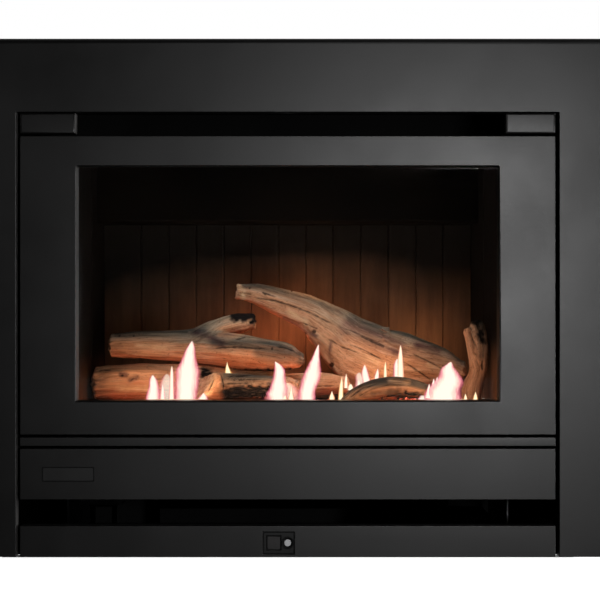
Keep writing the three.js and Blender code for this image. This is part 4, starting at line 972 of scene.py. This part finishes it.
def smooth_noise(points, seed):
    """Smooth noise from -1 to 1, at many points at once."""
    cell = np.floor(points).astype(np.int64)
    part = points - cell
    part = part * part * (3 - 2 * part)
    total = np.zeros(len(points))
    for corner in range(8):
        step = np.array([corner & 1, corner >> 1 & 1, corner >> 2 & 1])
        x, y, z = (cell + step).T
        key = (x * 73856093) ^ (y * 19349663) ^ (z * 83492791) ^ (seed * 2654435761)
        key = (key ^ (key >> 13)) * 1274126177
        value = ((key ^ (key >> 16)) & 0xFFFF) / 32767.5 - 1
        total += value * np.prod(np.where(step, part, 1 - part), 1)
    return total


def from_line(places, line):
    """How far 2-D places lie from a line of points, and how far along it, from 0 to 1."""
    best = np.full(len(places), np.inf)
    along = np.zeros(len(places))
    for number, (a, b) in enumerate(zip(line, line[1:])):
        run = b - a
        share = np.clip(((places - a) @ run) / (run @ run), 0, 1)
        far = np.linalg.norm(places - a - share[:, None] * run, axis=1)
        along = np.where(far < best, (number + share) / (len(line) - 1), along)
        best = np.minimum(best, far)
    return best, along


def soft_mark(places, strokes, taper=0.0, waver=0.0):
    """1 on the strokes, 0 away from them."""
    mark = np.zeros(len(places))
    shake = waver * smooth_noise(np.column_stack([places * 0.35, np.zeros(len(places))]), 9)
    for half, soft, *line in strokes:
        far, along = from_line(places, np.array(line, float).reshape(-1, 2))
        reach = (half + 0.6 * soft) * (1 - taper * (2 * along - 1) ** 4)
        mark = np.maximum(mark, np.clip((reach - far + shake) / soft, 0, 1))
    return mark


def relaxed(points, edges, rounds):
    """Points with their facets smoothed away. Each round pulls them in and lets them out again."""
    count = np.bincount(edges.ravel(), minlength=len(points))[:, None]
    for turn in range(2 * rounds):
        total = np.zeros_like(points)
        np.add.at(total, edges[:, 0], points[edges[:, 1]])
        np.add.at(total, edges[:, 1], points[edges[:, 0]])
        points = points + (PULL_IN if turn % 2 == 0 else LET_OUT) * (total / np.maximum(count, 1) - points)
    return points


def along_axes(points, axes):
    """Each point's run along the nearest axis and its place across it, and how far it is from an end."""
    best = np.full(len(points), np.inf)
    place = np.zeros((len(points), 3))
    ends = np.zeros(len(points))
    for number, axis in enumerate(axes):
        line = np.array([log_place(*station) for station in axis])
        fine = np.linspace(0, len(line) - 1, AXIS_POINTS)
        line = np.stack([np.interp(fine, range(len(line)), line[:, k]) for k in range(3)], 1)
        lengths = np.concatenate([[0], np.cumsum(np.linalg.norm(np.diff(line, axis=0), axis=1))])
        for i in range(len(line) - 1):
            run = line[i + 1] - line[i]
            share = np.clip(((points - line[i]) @ run) / (run @ run), 0, 1)
            off = points - line[i] - share[:, None] * run
            far = np.linalg.norm(off, axis=1)
            nearer = far < best
            best = np.where(nearer, far, best)
            tangent = run / np.linalg.norm(run)
            up = np.cross(tangent, (0, 1, 0))
            up /= np.linalg.norm(up)
            s = lengths[i] + share * np.linalg.norm(run)
            found = np.stack([s, off @ up, off[:, 1]], 1) + number * np.array(BRANCH_SHIFT)
            place[nearer] = found[nearer]
            tip = np.minimum(s, lengths[-1] - s)
            if i == 0:
                beyond = (points - line[i]) @ tangent
                tip = np.where(beyond < 0, beyond, tip)
            ends = np.where(nearer, tip, ends)
    return place, ends


HALF_WINDOW, WINDOW_TALL = WINDOW[2], WINDOW[3] - WINDOW[1]
LOG_FRONT, LOG_REACH = FACE + 0.0489, 0.2513  # the depth for logs: where it starts and how deep it is
TRAY_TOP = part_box("burner_tray")[1].z


def log_place(x, depth, height):
    return (x * HALF_WINDOW, LOG_FRONT + depth * LOG_REACH, TRAY_TOP + height * WINDOW_TALL)


# An axis has stations of (x, depth, height), as shares of half the window, the depth for logs and the
# window's height. A stroke of a mark is half its width, its softness and then x and y of each of its
# points, in pixels of the picture
LOGS = {
    "log_rear": dict(
        axes=[
            [(-0.965, 0.48, 0.083), (-0.745, 0.48, 0.089), (-0.44, 0.48, 0.085), (-0.02, 0.48, 0.068),
             (0.19, 0.48, 0.083), (0.3, 0.48, 0.077)],
        ],
        tan=[(30, 6, 95, 380, 205, 382), (20, 8, 290, 384, 343, 382)],
        crack=[
            (0.5, 0.9, 98, 371, 104, 369.5, 112, 370), (0.8, 1, 121, 375, 124, 376),
            (0.7, 1, 130, 381, 134, 378.5), (0.6, 0.8, 150, 389, 172, 391), (0.5, 0.8, 296, 380, 318, 377),
            (0.4, 0.8, 300, 387, 334, 386),
        ],
        char=[(5, 6, 205, 372, 212, 380)],
        soot=[(0.5, 4, 90, 399, 170, 401)],
        pale=[(2.5, 4, 292, 385, 306, 382), (2, 5, 118, 388, 160, 389)],
        stain=[(2.2, 2.2, 121, 374.5, 126, 375), (2, 3, 130, 380, 137, 377)],
    ),
    "log_front": dict(
        axes=[
            [(-0.47, 0.31, 0.064), (-0.36, 0.31, 0.068), (-0.187, 0.31, 0.069), (-0.013, 0.31, 0.063),
             (0.045, 0.31, 0.06)],
        ],
        tan=[(9, 3, 214, 372, 205, 396)],
        pale=[(3.5, 3, 213, 376, 208, 392)],
        crack=[
            (0.5, 0.8, 226, 376, 252, 375), (0.5, 0.7, 232, 379.5, 262, 379),
            (0.4, 0.7, 224, 383, 250, 382.5), (0.6, 0.8, 221, 374, 223.5, 384, 223, 394),
            (0.4, 0.8, 214, 380, 208, 392),
        ],
        char=[(7, 5, 228, 393, 272, 392)],
        soot=[(1.5, 3, 224, 399, 275, 400)],
        dull=[(4, 8, 234, 374, 275, 376)],
    ),
    "log_arch": dict(
        axes=[
            [(0.26, 0.134, -0.03), (0.32, 0.134, 0.029), (0.395, 0.134, 0.063), (0.489, 0.134, 0.081),
             (0.572, 0.134, 0.081), (0.67, 0.134, 0.061), (0.768, 0.134, 0.029), (0.85, 0.134, -0.028)],
        ],
        tan=[(2, 6, 400, 392, 425, 395)],
        crack=[
            (0.5, 0.8, 350, 397, 362, 388, 378, 383), (0.4, 0.8, 358, 397, 372, 389, 390, 384, 408, 385),
            (0.4, 0.8, 386, 379, 402, 379.5, 414, 383),
        ],
        char=[
            (2, 3, 380, 400, 393, 396, 405, 393.5, 420, 395),
            (0, 9, 350, 400, 362, 395, 384, 392, 404, 391),
        ],
        pale=[(1.5, 5, 390, 380.5, 408, 382)],
        stain=[(0, 10, 349, 396, 359, 389)],
        dull=[(20, 8, 340, 400, 360, 386, 400, 380, 428, 392)],
    ),
    "log_diagonal": dict(
        axes=[
            [(-0.262, 0.765, 0.503), (-0.153, 0.757, 0.488), (-0.013, 0.733, 0.442), (0.125, 0.704, 0.396),
             (0.23, 0.676, 0.325), (0.319, 0.644, 0.258), (0.471, 0.603, 0.2), (0.56, 0.585, 0.176),
             (0.7, 0.555, 0.157), (0.804, 0.53, 0.143), (0.88, 0.514, 0.127)],
        ],
        pale=[
            (1.5, 3, 239, 286, 244, 290, 243, 297), (2, 5, 290, 312, 306, 322), (2, 5, 352, 352, 378, 362),
            (2, 4, 428, 365, 446, 373),
        ],
        tan=[
            (7, 9, 246, 300, 272, 308, 300, 322, 330, 345, 360, 366, 400, 386, 440, 396),
            (3, 4, 236, 284, 240, 292, 243, 298), (6, 10, 350, 345, 400, 364, 446, 384),
        ],
        crack=[
            (0.7, 0.9, 254, 297.5, 262, 299, 275, 300.5, 289, 305, 308, 312, 318, 317, 335, 325),
            (0.4, 0.8, 335, 325, 352, 331, 372, 340, 392, 350), (0.5, 0.8, 401, 360, 415, 369, 432, 381),
            (0.4, 0.8, 411, 353, 428, 361, 447, 371), (0.5, 0.8, 326, 338, 342, 347, 362, 354),
            (0.8, 1, 262, 292, 266, 295), (0.5, 0.8, 262, 292, 270, 295, 276, 297),
            (0.7, 0.8, 291, 290.5, 292.5, 291.5), (0.7, 0.8, 249, 287.5, 250.5, 288.5),
            (0.4, 0.7, 243, 293, 252, 294.5), (0.4, 0.7, 300, 322, 318, 329),
            (1.8, 1.4, 312, 331, 316, 332), (2.2, 1.6, 330, 363, 332.5, 367),
            (0.5, 0.8, 356, 334, 384, 347), (0.5, 0.8, 352, 345, 366, 351, 384, 361),
        ],
        stain=[
            (7, 7, 347, 327, 362, 333, 381, 341, 398, 349), (4, 5, 418, 346, 436, 352),
            (1.5, 3, 284, 318, 300, 327, 316, 336), (0, 9, 336, 338, 346, 342),
            (1, 3, 331, 342, 329, 354, 333, 368),
        ],
        soot=[(0.4, 2, 240, 303, 256, 307, 282, 320, 306, 333)],
        dull=[
            (3, 9, 352, 318, 385, 330, 420, 339, 450, 351, 468, 364), (2, 8, 244, 284, 290, 290, 340, 310),
        ],
    ),
    "log_upright": dict(
        axes=[
            [(0.911, 0.36, -0.01), (0.918, 0.36, 0.068), (0.943, 0.36, 0.131), (0.951, 0.36, 0.194),
             (0.954, 0.36, 0.261), (0.95, 0.36, 0.32), (0.943, 0.36, 0.366)],
            [(0.932, 0.35, 0.185), (0.915, 0.345, 0.239), (0.904, 0.345, 0.284), (0.8945, 0.342, 0.322),
             (0.892, 0.34, 0.335)],
        ],
        tan=[(4, 5, 465, 332, 468, 350, 471, 372, 468, 396), (3, 4, 472, 372, 478, 392)],
        crack=[
            (0.9, 0.8, 482.5, 360, 482, 365, 482.8, 371), (0.4, 0.9, 470, 329, 473, 340, 478, 350),
            (0.3, 0.9, 484, 336, 486, 346), (0.4, 0.9, 474, 352, 477, 356),
        ],
        char=[(3.5, 6, 475, 321, 479, 330, 482, 339)],
        soot=[(1, 4, 474, 321, 481, 322), (1.5, 5, 489, 338, 490, 352, 489, 364)],
        dull=[(2, 7, 478, 322, 482, 340, 482, 356)],
    ),
    "log_forked": dict(
        axes=[
            [(-0.893, 0.563, 0.2575), (-0.749, 0.5425, 0.255), (-0.57, 0.514, 0.254),
             (-0.417, 0.482, 0.249), (-0.265, 0.441, 0.2326), (-0.114, 0.401, 0.2177),
             (0.0115, 0.3725, 0.2025), (0.071, 0.36, 0.19)],
            [(-0.44, 0.49, 0.275), (-0.333, 0.5425, 0.332), (-0.243, 0.583, 0.357), (-0.172, 0.603, 0.365)],
        ],
        pale=[(2, 6, 138, 346, 172, 348)],
        tan=[(9, 7, 118, 351, 160, 353, 205, 357, 236, 358), (4, 6, 222, 338, 240, 330, 256, 318)],
        crack=[
            (0.6, 0.8, 211, 348.5, 225, 347.5, 236, 347, 254, 348, 272, 348.3),
            (1.4, 1, 271, 348.4, 273, 348.6), (0.6, 0.8, 276, 346.5, 286, 347.5, 294, 351),
            (0.8, 0.9, 124, 358, 148, 360, 162, 362, 178, 364.5), (0.8, 0.8, 119, 334.5, 120.5, 335.5),
            (0.8, 0.8, 126, 330, 128, 331), (0.8, 0.8, 133, 334.5, 135, 335.5),
            (0.7, 0.8, 144, 329, 146, 330), (0.7, 0.9, 235, 340, 246, 337),
        ],
        char=[(4.5, 4, 236, 316, 252, 314), (2, 3, 250, 322, 256, 318)],
        soot=[(4, 6, 236, 317, 246, 315, 256, 317), (1.2, 3, 126, 361, 180, 367, 230, 371, 290, 369)],
        stain=[(3, 6, 196, 332, 212, 338, 222, 344), (0, 9, 222, 336, 238, 330)],
        dull=[
            (10, 8, 262, 348, 290, 352, 306, 358), (4, 8, 118, 333, 150, 330, 204, 331),
            (5, 9, 214, 342, 240, 344, 280, 347),
        ],
    ),
}


def rows_of(items, name, width, kind=float):
    """What a mesh's points or edges say, as rows."""
    values = np.zeros(width * len(items), kind)
    items.foreach_get(name, values)
    return values.reshape(-1, width)


def carved_log(node, axes, seed, tan=(), crack=(), char=(), stain=(), soot=(), dull=(), pale=()):
    """A CAD log made finer, with flutes and fibres along its grain, cracks cut in and painted marks."""
    maker = maker_of(node, mesh_of(merged(node, CRUMB), node, outwards=False))
    skin = maker.modifiers.new("even_skin", "REMESH")
    skin.mode = "VOXEL"
    skin.voxel_size = SKIN
    mesh = settled(maker)
    edges = rows_of(mesh.edges, "vertices", 2, int)
    points = relaxed(rows_of(mesh.vertices, "co", 3), edges, SMOOTHING)
    mesh.vertices.foreach_set("co", points.ravel())
    mesh.update()
    normals = rows_of(mesh.vertices, "normal", 3)
    place, ends = along_axes(points, axes)
    places = pictured(points)
    waves = (FLUTE_WAVES, FIBRE_WAVES, LUMP_WAVES, TORN_WAVES)
    flutes, fibres, lumps, torn = (smooth_noise(place * wave, seed + i) for i, wave in enumerate(waves))
    torn *= np.clip(1 - np.abs(ends) / TORN_END, 0, 1)
    cracks = soft_mark(places, crack, 0.8, 0.35)
    chars = soft_mark(places, char, waver=2.5)
    push = LUMP_DEPTH * lumps + FLUTE_DEPTH * flutes + FIBRE_DEPTH * fibres + TORN_DEPTH * torn
    push -= CRACK_DEPTH * cracks + CHAR_DEPTH * chars * np.abs(flutes)
    points = points + normals * push[:, None]
    points[:, 2] = np.maximum(points[:, 2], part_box(node)[0].z)
    mesh.vertices.foreach_set("co", points.ravel())
    # How far each point faces up steers the painted firelight; two kinds of stroke are painted shade, one of
    # them with soot
    mark_points(
        mesh, crack=cracks, char=chars, grain=place,
        top=0.5 + 0.5 * normals[:, 2],
        tan=soft_mark(places, tan),
        soot=soft_mark(places, soot, waver=1.0),
        stain=soft_mark(places, stain) * np.clip(0.75 + 0.6 * flutes, 0, 1),
        dull=soft_mark(places, dull) * np.clip(0.8 + 0.4 * flutes, 0, 1),
        pale=soft_mark(places, pale, waver=1.0) * np.clip(0.7 + 0.7 * fibres, 0, 1),
    )
    mesh.shade_smooth()
    mesh.materials.clear()
    mesh.materials.append(LOG_FIBRE)
    mesh.update()
    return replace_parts(owned(node + "_carved", mesh, "fire"), node)


for number, (node, marks) in enumerate(LOGS.items()):
    carved_log(node, seed=11 * number + 3, **marks)


# Embers, strewn over patches

def strewn_lumps():
    """Lumps of several sizes on a patch, some glowing. A lump has 80 faces, because it is repeated."""
    made = Growth(
        "strewn_lumps", Patch=("Geometry",), Density=("Float", 9000.0), Lump_Size=("Float", 0.005),
        Seed=("Int", 4), Glow=("Float", 0.3), Finish=("Material",),
    )
    size, seed = made.given["Lump Size"], made.given["Seed"]
    points = made.node("GeometryNodeDistributePointsOnFaces", {
        "Mesh": made.given["Patch"], "Density": made.given["Density"], "Seed": seed,
    }).outputs["Points"]
    chance = made.node("FunctionNodeRandomValue", {2: 0.0, 3: 1.0, "Seed": seed}, data_type="FLOAT")
    marked = made.node("GeometryNodeStoreNamedAttribute", {
        "Geometry": points, "Name": "glow",
        "Value": made.maths("LESS_THAN", chance.outputs[1], made.given["Glow"]),
    }, data_type="FLOAT", domain="POINT").outputs[0]
    ball = made.node("GeometryNodeMeshIcoSphere", {"Radius": 1.0, "Subdivisions": 2}).outputs["Mesh"]
    turn = made.random((0, 0, 0), (6.3, 6.3, 6.3), seed)
    breadth = made.random((0.45, 0.4, 0.3), (1.3, 1.1, 0.9), seed)
    scale = made.node("ShaderNodeVectorMath", {0: breadth, "Scale": size}, operation="SCALE").outputs[0]
    real = made.copies(marked, ball, turn, scale)
    here = made.node("GeometryNodeInputPosition").outputs[0]
    rough = made.node("ShaderNodeTexNoise", {"Vector": here, "Scale": 160.0, "Detail": 3.0}).outputs["Color"]
    middle = made.maths("SUBTRACT", rough, (0.5, 0.5, 0.5), kind="ShaderNodeVectorMath")
    shift = made.node("ShaderNodeVectorMath", {0: middle, "Scale": size}, operation="SCALE").outputs[0]
    return made.ends(made.node("GeometryNodeSetPosition", {"Geometry": real, "Offset": shift}).outputs[0])


def patch(name, left, front, right, back, height):
    mesh = bpy.data.meshes.new(name)
    corners = [(left, front), (right, front), (right, back), (left, back)]
    mesh.from_pydata([(*corner, height) for corner in corners], [], [(0, 1, 2, 3)])
    return mesh


TRAY_INSET, TRAY_LIP, TRAY_STRIP, TRAY_RISE = 0.012, 0.008, 0.08, 0.0015
BED_INSET, BED_BACK = 0.006, 0.004
tray_low, tray_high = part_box("burner_tray")
bed_low, bed_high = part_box("ember_bed")
LUMPS = strewn_lumps()
for name, ground, density, size, seed, glowing in (
    ("tray_embers", (
        tray_low.x + TRAY_INSET, tray_low.y + TRAY_LIP, tray_high.x - TRAY_INSET, tray_low.y + TRAY_STRIP,
        tray_high.z + TRAY_RISE,
    ), 9000.0, 0.0042, 7, 0.35),
    ("bed_embers", (
        bed_low.x + BED_INSET, bed_low.y + BED_INSET, bed_high.x - BED_INSET, bed_high.y - BED_BACK,
        bed_high.z,
    ), 12000.0, 0.0048, 12, 0.12),
    ("glow_coals", (
        0.163, FACE + 0.088, 0.186, FACE + 0.1, tray_high.z + 0.006,
    ), 60000.0, 0.0044, 3, 0.9),
):
    embers = grown(
        name, patch(name, *ground), LUMPS,
        Density=density, Lump_Size=size, Seed=seed, Glow=glowing, Finish=EMBER,
    )
    owned(name, embers, "fire")
cad_bed = frame["nodes"]["ember_bed"].data
cad_bed.materials.clear()
cad_bed.materials.append(EMBER)


# Flames

# Each is a flattened tongue: its depth, how rosy and how dense it is, and then the height, the left edge
# and the right edge of each row of its outline, in pixels of the picture
FLAMES = (
    (0.11, 1, 1, 405, 174.5, 197, 397, 174.8, 196.8, 390, 175, 197.8, 382, 175.2, 199, 373, 175.2, 200.2,
     368, 176.5, 199, 364, 180, 197.4, 358, 182.4, 196, 352, 184.4, 195.3, 347, 187, 195.2,
     343.5, 189.5, 194, 341.2, 191.6, 192.6),
    (0.104, 0.9, 0.9, 405, 195, 209.5, 399, 197, 208.5, 396, 200, 207, 393, 203, 204.5),
    (0.114, 0.8, 1, 405, 168, 175, 392, 169.2, 174.2, 382, 169.6, 173.9, 374, 170, 173.8, 369, 170.6, 173.1,
     366.2, 171.6, 172.2),
    (0.118, 1, 0.35, 405, 156, 176, 392, 158, 176, 384, 159.5, 175.5, 380, 161, 174, 376, 163, 171,
     374, 166, 168),
    (0.113, 1, 0.8, 405, 159, 166, 395, 160.5, 165, 388, 161.6, 164.2, 384, 162.6, 163.2),
    (0.112, 1, 0.95, 405, 145, 160.4, 397, 146, 160, 391, 147.6, 159.3, 386, 149.2, 158.8,
     381.5, 149.1, 157.9, 378, 150, 156.1, 375.3, 151.8, 153.8),
    (0.098, 1, 1, 405, 268, 288, 398, 268.3, 287.4, 393.5, 266, 287.6, 389, 269.2, 288, 383.5, 271.4, 286.2,
     376, 273.4, 285.2, 370.5, 274.1, 285.4, 367, 274.3, 283.4, 364, 274.3, 280.4, 361.6, 274.8, 275.8),
    (0.104, 1, 0.35, 405, 262, 302, 398, 264, 301, 392, 268, 300, 387, 276, 297, 383, 285, 290),
    (0.096, 0.5, 1, 405, 287.3, 294.8, 398, 287.8, 294.3, 395, 288.8, 293.4, 391, 290, 292.4,
     386.6, 290.9, 291.7),
    (0.096, 0.4, 1, 405, 280.5, 288, 398, 281.4, 287.2, 394, 283, 285.9, 391.5, 284.1, 284.9),
    (0.112, 1, 1, 405, 297.2, 315.3, 398, 297.8, 315, 392, 298.8, 315.2, 386, 300, 316.8, 380, 301.6, 320.2,
     374, 303.6, 321, 367, 307.2, 320.8, 360, 310.8, 319.8, 354, 313.6, 319.6, 349, 315.5, 319.5,
     344.8, 317.9, 318.9),
    (0.1, 0.3, 1, 405, 328, 335.2, 399, 328.6, 335, 396, 329.4, 334.4, 393.5, 330.8, 333, 391, 331.6, 332.3),
    (0.101, 0.1, 1, 405, 337.8, 343.4, 398, 338.1, 343.3, 390, 338.7, 343.4, 384, 339.7, 343.1,
     380, 340.9, 342.5, 377.6, 341.5, 342),
    (0.112, 0.6, 1, 388, 343.6, 348.2, 384, 343.9, 347.8, 379, 344.5, 347.5, 376, 345.4, 346.9,
     373.6, 345.9, 346.4),
    (0.112, 0.5, 0.9, 390, 346.8, 354.4, 386.5, 347.5, 353.4, 384, 349.5, 351.5),
    (0.113, 1, 1, 385, 362, 371.4, 380, 362, 370.6, 376, 361.2, 369.4, 371.5, 361.4, 368, 368, 362.6, 366.6,
     365.2, 364, 365.2),
    (0.114, 1, 0.4, 388, 354, 366, 382, 355.5, 365, 377, 355, 364, 374, 356, 362, 372.5, 358, 360),
    (0.113, 0.8, 0.9, 387, 356.6, 361, 382.5, 357.3, 360.2, 380, 358.3, 359.3),
    (0.114, 0.9, 0.9, 382, 373.4, 379, 376, 374.4, 379.1, 373, 375.4, 379, 370.5, 376.6, 378.5,
     368.8, 377.4, 378),
    (0.114, 0.3, 1, 380, 383.2, 387, 372, 383.5, 386.8, 367, 383.9, 386.5, 364, 384.5, 386.1,
     361.8, 385.2, 385.6),
    (0.115, 0.5, 1, 381, 396.4, 404.4, 372, 396.6, 404, 366, 397, 403.6, 358, 397.6, 403, 352, 398.6, 402.5,
     348, 399.3, 401.7, 345.2, 400.2, 400.9),
    (0.116, 1, 0.85, 381, 392.6, 402, 372, 393.2, 401, 366, 393.2, 400.4, 362, 394.4, 399.6,
     359, 396.4, 398.6),
    (0.062, 1, 1, 405, 423.5, 461.4, 399, 423.8, 461.2, 394, 424.5, 460.4, 389, 427.4, 460.6,
     385, 431, 462.6, 381, 434.5, 463, 377, 438.6, 461, 372, 439.7, 457.8, 368, 441, 454.2,
     365, 445.2, 453.2, 362.2, 449.6, 451.8),
    (0.061, 1, 0.9, 395, 433, 441.5, 386, 433.8, 440.7, 381, 435.2, 439.1, 377.2, 436.8, 437.5),
    (0.061, 1, 0.9, 395, 429, 437.5, 387, 430.8, 436.2, 382, 432.3, 435, 378.8, 433.3, 434),
    (0.061, 1, 0.9, 398, 424, 432.4, 390, 426.6, 431.2, 386, 428.1, 430.2, 383.8, 428.9, 429.4),
    (0.064, 1, 0.6, 405, 416.5, 428, 399, 417.5, 427, 395.6, 420, 425.5),
    (0.063, 0.2, 1, 405, 462.8, 468, 398.5, 463.4, 467.4, 396, 464.3, 466.5, 394, 465.1, 465.8),
    (0.063, 0.1, 1, 405, 472.4, 478, 398.5, 472.8, 477.8, 396, 473.6, 477.2, 393.6, 474.6, 476.3,
     391.6, 475.2, 475.7),
    (0.094, 0.1, 1, 405, 142, 214, 402.5, 143, 213.4, 401, 144, 212.6, 400, 146, 210, 399.3, 150, 205),
    (0.094, 0.3, 0.9, 405, 264, 298, 402.5, 265, 297, 401, 267, 296, 400, 270, 294, 399.3, 276, 290),
    (0.06, 0.2, 0.9, 405, 440, 478, 402.5, 441, 477, 401, 443, 475, 400, 447, 472, 399.3, 452, 468),
    (0.131, 0, 0.9, 380, 223.4, 234.2, 375, 224, 233.8, 371.5, 224.7, 231.2, 367, 225.7, 229,
     364, 226.7, 227.8, 362, 227.1, 227.6),
)
ROWS, SIDES = 34, 24  # of a tongue's mesh
FLAME_BREADTH = 1.08  # to the pictured breadth, as the edges fade out
FLAME_THICKNESS = 0.5  # to the breadth
WIDEST_HALF = 7  # pixels of half breadth that still add to the thickness


def softened(side):
    """An edge of an outline with its corners smoothed."""
    for _ in range(2):
        side[1:-1] = (side[:-2] + 2 * side[1:-1] + side[2:]) / 4
    return side


def flames():
    """All the tongues in one piece, with marks for their finish."""
    shape = bmesh.new()
    marks = []
    turns = [2 * math.pi * side / SIDES for side in range(SIDES)]
    for depth, rosy, dense, *rows in FLAMES:
        py, *edges = np.array(rows, float).reshape(-1, 3).T
        fine = np.linspace(py[0], py[-1], ROWS)
        left, right = (softened(np.interp(-fine, -py, edge)) for edge in edges)
        rings = [[] for _ in range(ROWS)]
        for row, ring in enumerate(rings):
            half = (right[row] - left[row]) / 2 * FLAME_BREADTH
            middle = (left[row] + right[row]) / 2
            for turn in turns:
                place = seen(middle + math.cos(turn) * half, fine[row], depth)
                place.y += math.sin(turn) * min(half, WIDEST_HALF) * PIXEL * FLAME_THICKNESS
                ring.append(shape.verts.new(place))
                marks.append((abs(math.cos(turn)), row / (ROWS - 1), rosy, dense))
        walls(shape, rings, caps=True)
    mesh = mesh_of(shape, "flames", FLAME)
    mark_points(mesh, **dict(zip(("edge", "rise", "rosy", "dense"), np.array(marks).T)))
    mesh.shade_smooth()
    return owned("flames", mesh, "fire")


flames()

AMBER = (1.0, 0.54, 0.28)
ROSY = (1.0, 0.38, 0.19)
FIRELIGHTS = (
    # (name, pixel across and down, depth, watts, colour)
    ("end", 128, 392, 0.09, 0.07, AMBER),
    ("left", 180, 381, 0.095, 0.19, AMBER),
    ("front", 277, 384, 0.075, 0.09, AMBER),
    ("middle", 312, 372, 0.09, 0.11, ROSY),
    ("arch", 380, 372, 0.125, 0.08, AMBER),
    ("right", 444, 380, 0.055, 0.26, AMBER),
    ("twig", 460, 384, 0.055, 0.09, AMBER),
    ("rear", 292, 330, 0.245, 0.11, ROSY),
    ("rear_left", 262, 330, 0.25, 0.05, ROSY),
    ("upper", 318, 274, 0.23, 0.11, AMBER),
    ("rear_right", 422, 335, 0.25, 0.08, AMBER),
)
for name, px, py, depth, watts, colour in FIRELIGHTS:
    lamp = firelight(name + "_firelight", seen(px, py, depth), watts, colour)
    if name == "end":
        lamp.light_linking.receiver_collection = screen
near_glass = FACE + 0.062
softbox("tray_light", (0.04, near_glass, 0.225), (0.04, FACE + 0.3, 0.3), 0.42, 0.02, 0.08, (1.0, 0.55, 0.3))
softbox(
    "log_light", (0.03, near_glass, 0.50), (0.03, FACE + 0.20, 0.24), 0.34, 0.05, 0.12, (1.0, 0.96, 0.9), 80,
)


# Floor, with painted shade under the face, where the picture has black gaps

FLOOR_REACH, FLOOR_DROP = 7, 0.0005
level = cad_box[0].z - FLOOR_DROP
floor_patch = patch("floor", -FLOOR_REACH, -FLOOR_REACH, FLOOR_REACH, FLOOR_REACH, level)
floor = bpy.data.objects.new("floor", floor_patch)
scene.collection.objects.link(floor)
floor.visible_glossy = False
floor.visible_diffuse = False
stone = Finish("pale_floor", Base_Color=(0.9, 0.9, 0.9, 1), Emission_Strength=0.85)
across, back, _ = stone.node("ShaderNodeSeparateXYZ", {0: stone.own}).outputs
casing_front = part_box("casing_base")[0].y
behind_face = stone.maths("GREATER_THAN", back, FACE)
before_casing = stone.maths("LESS_THAN", back, casing_front)
beside = stone.maths("GREATER_THAN", stone.maths("ABSOLUTE", across), case_high.x)
# Under the face and in front of the casing the floor does not glow: painted shade, seen through the gaps
open_floor = stone.maths("SUBTRACT", 1.0, stone.times(behind_face, before_casing))
lit = stone.maths("MAXIMUM", open_floor, beside)
stone.feed(Roughness=stone.span(stone.noise(3.0), 0.6, 0.75))
stone.feed(Emission_Color=stone.ramp(lit, (0.0, (0, 0, 0)), (1.0, (1, 1, 1))))
floor.data.materials.append(stone.material)
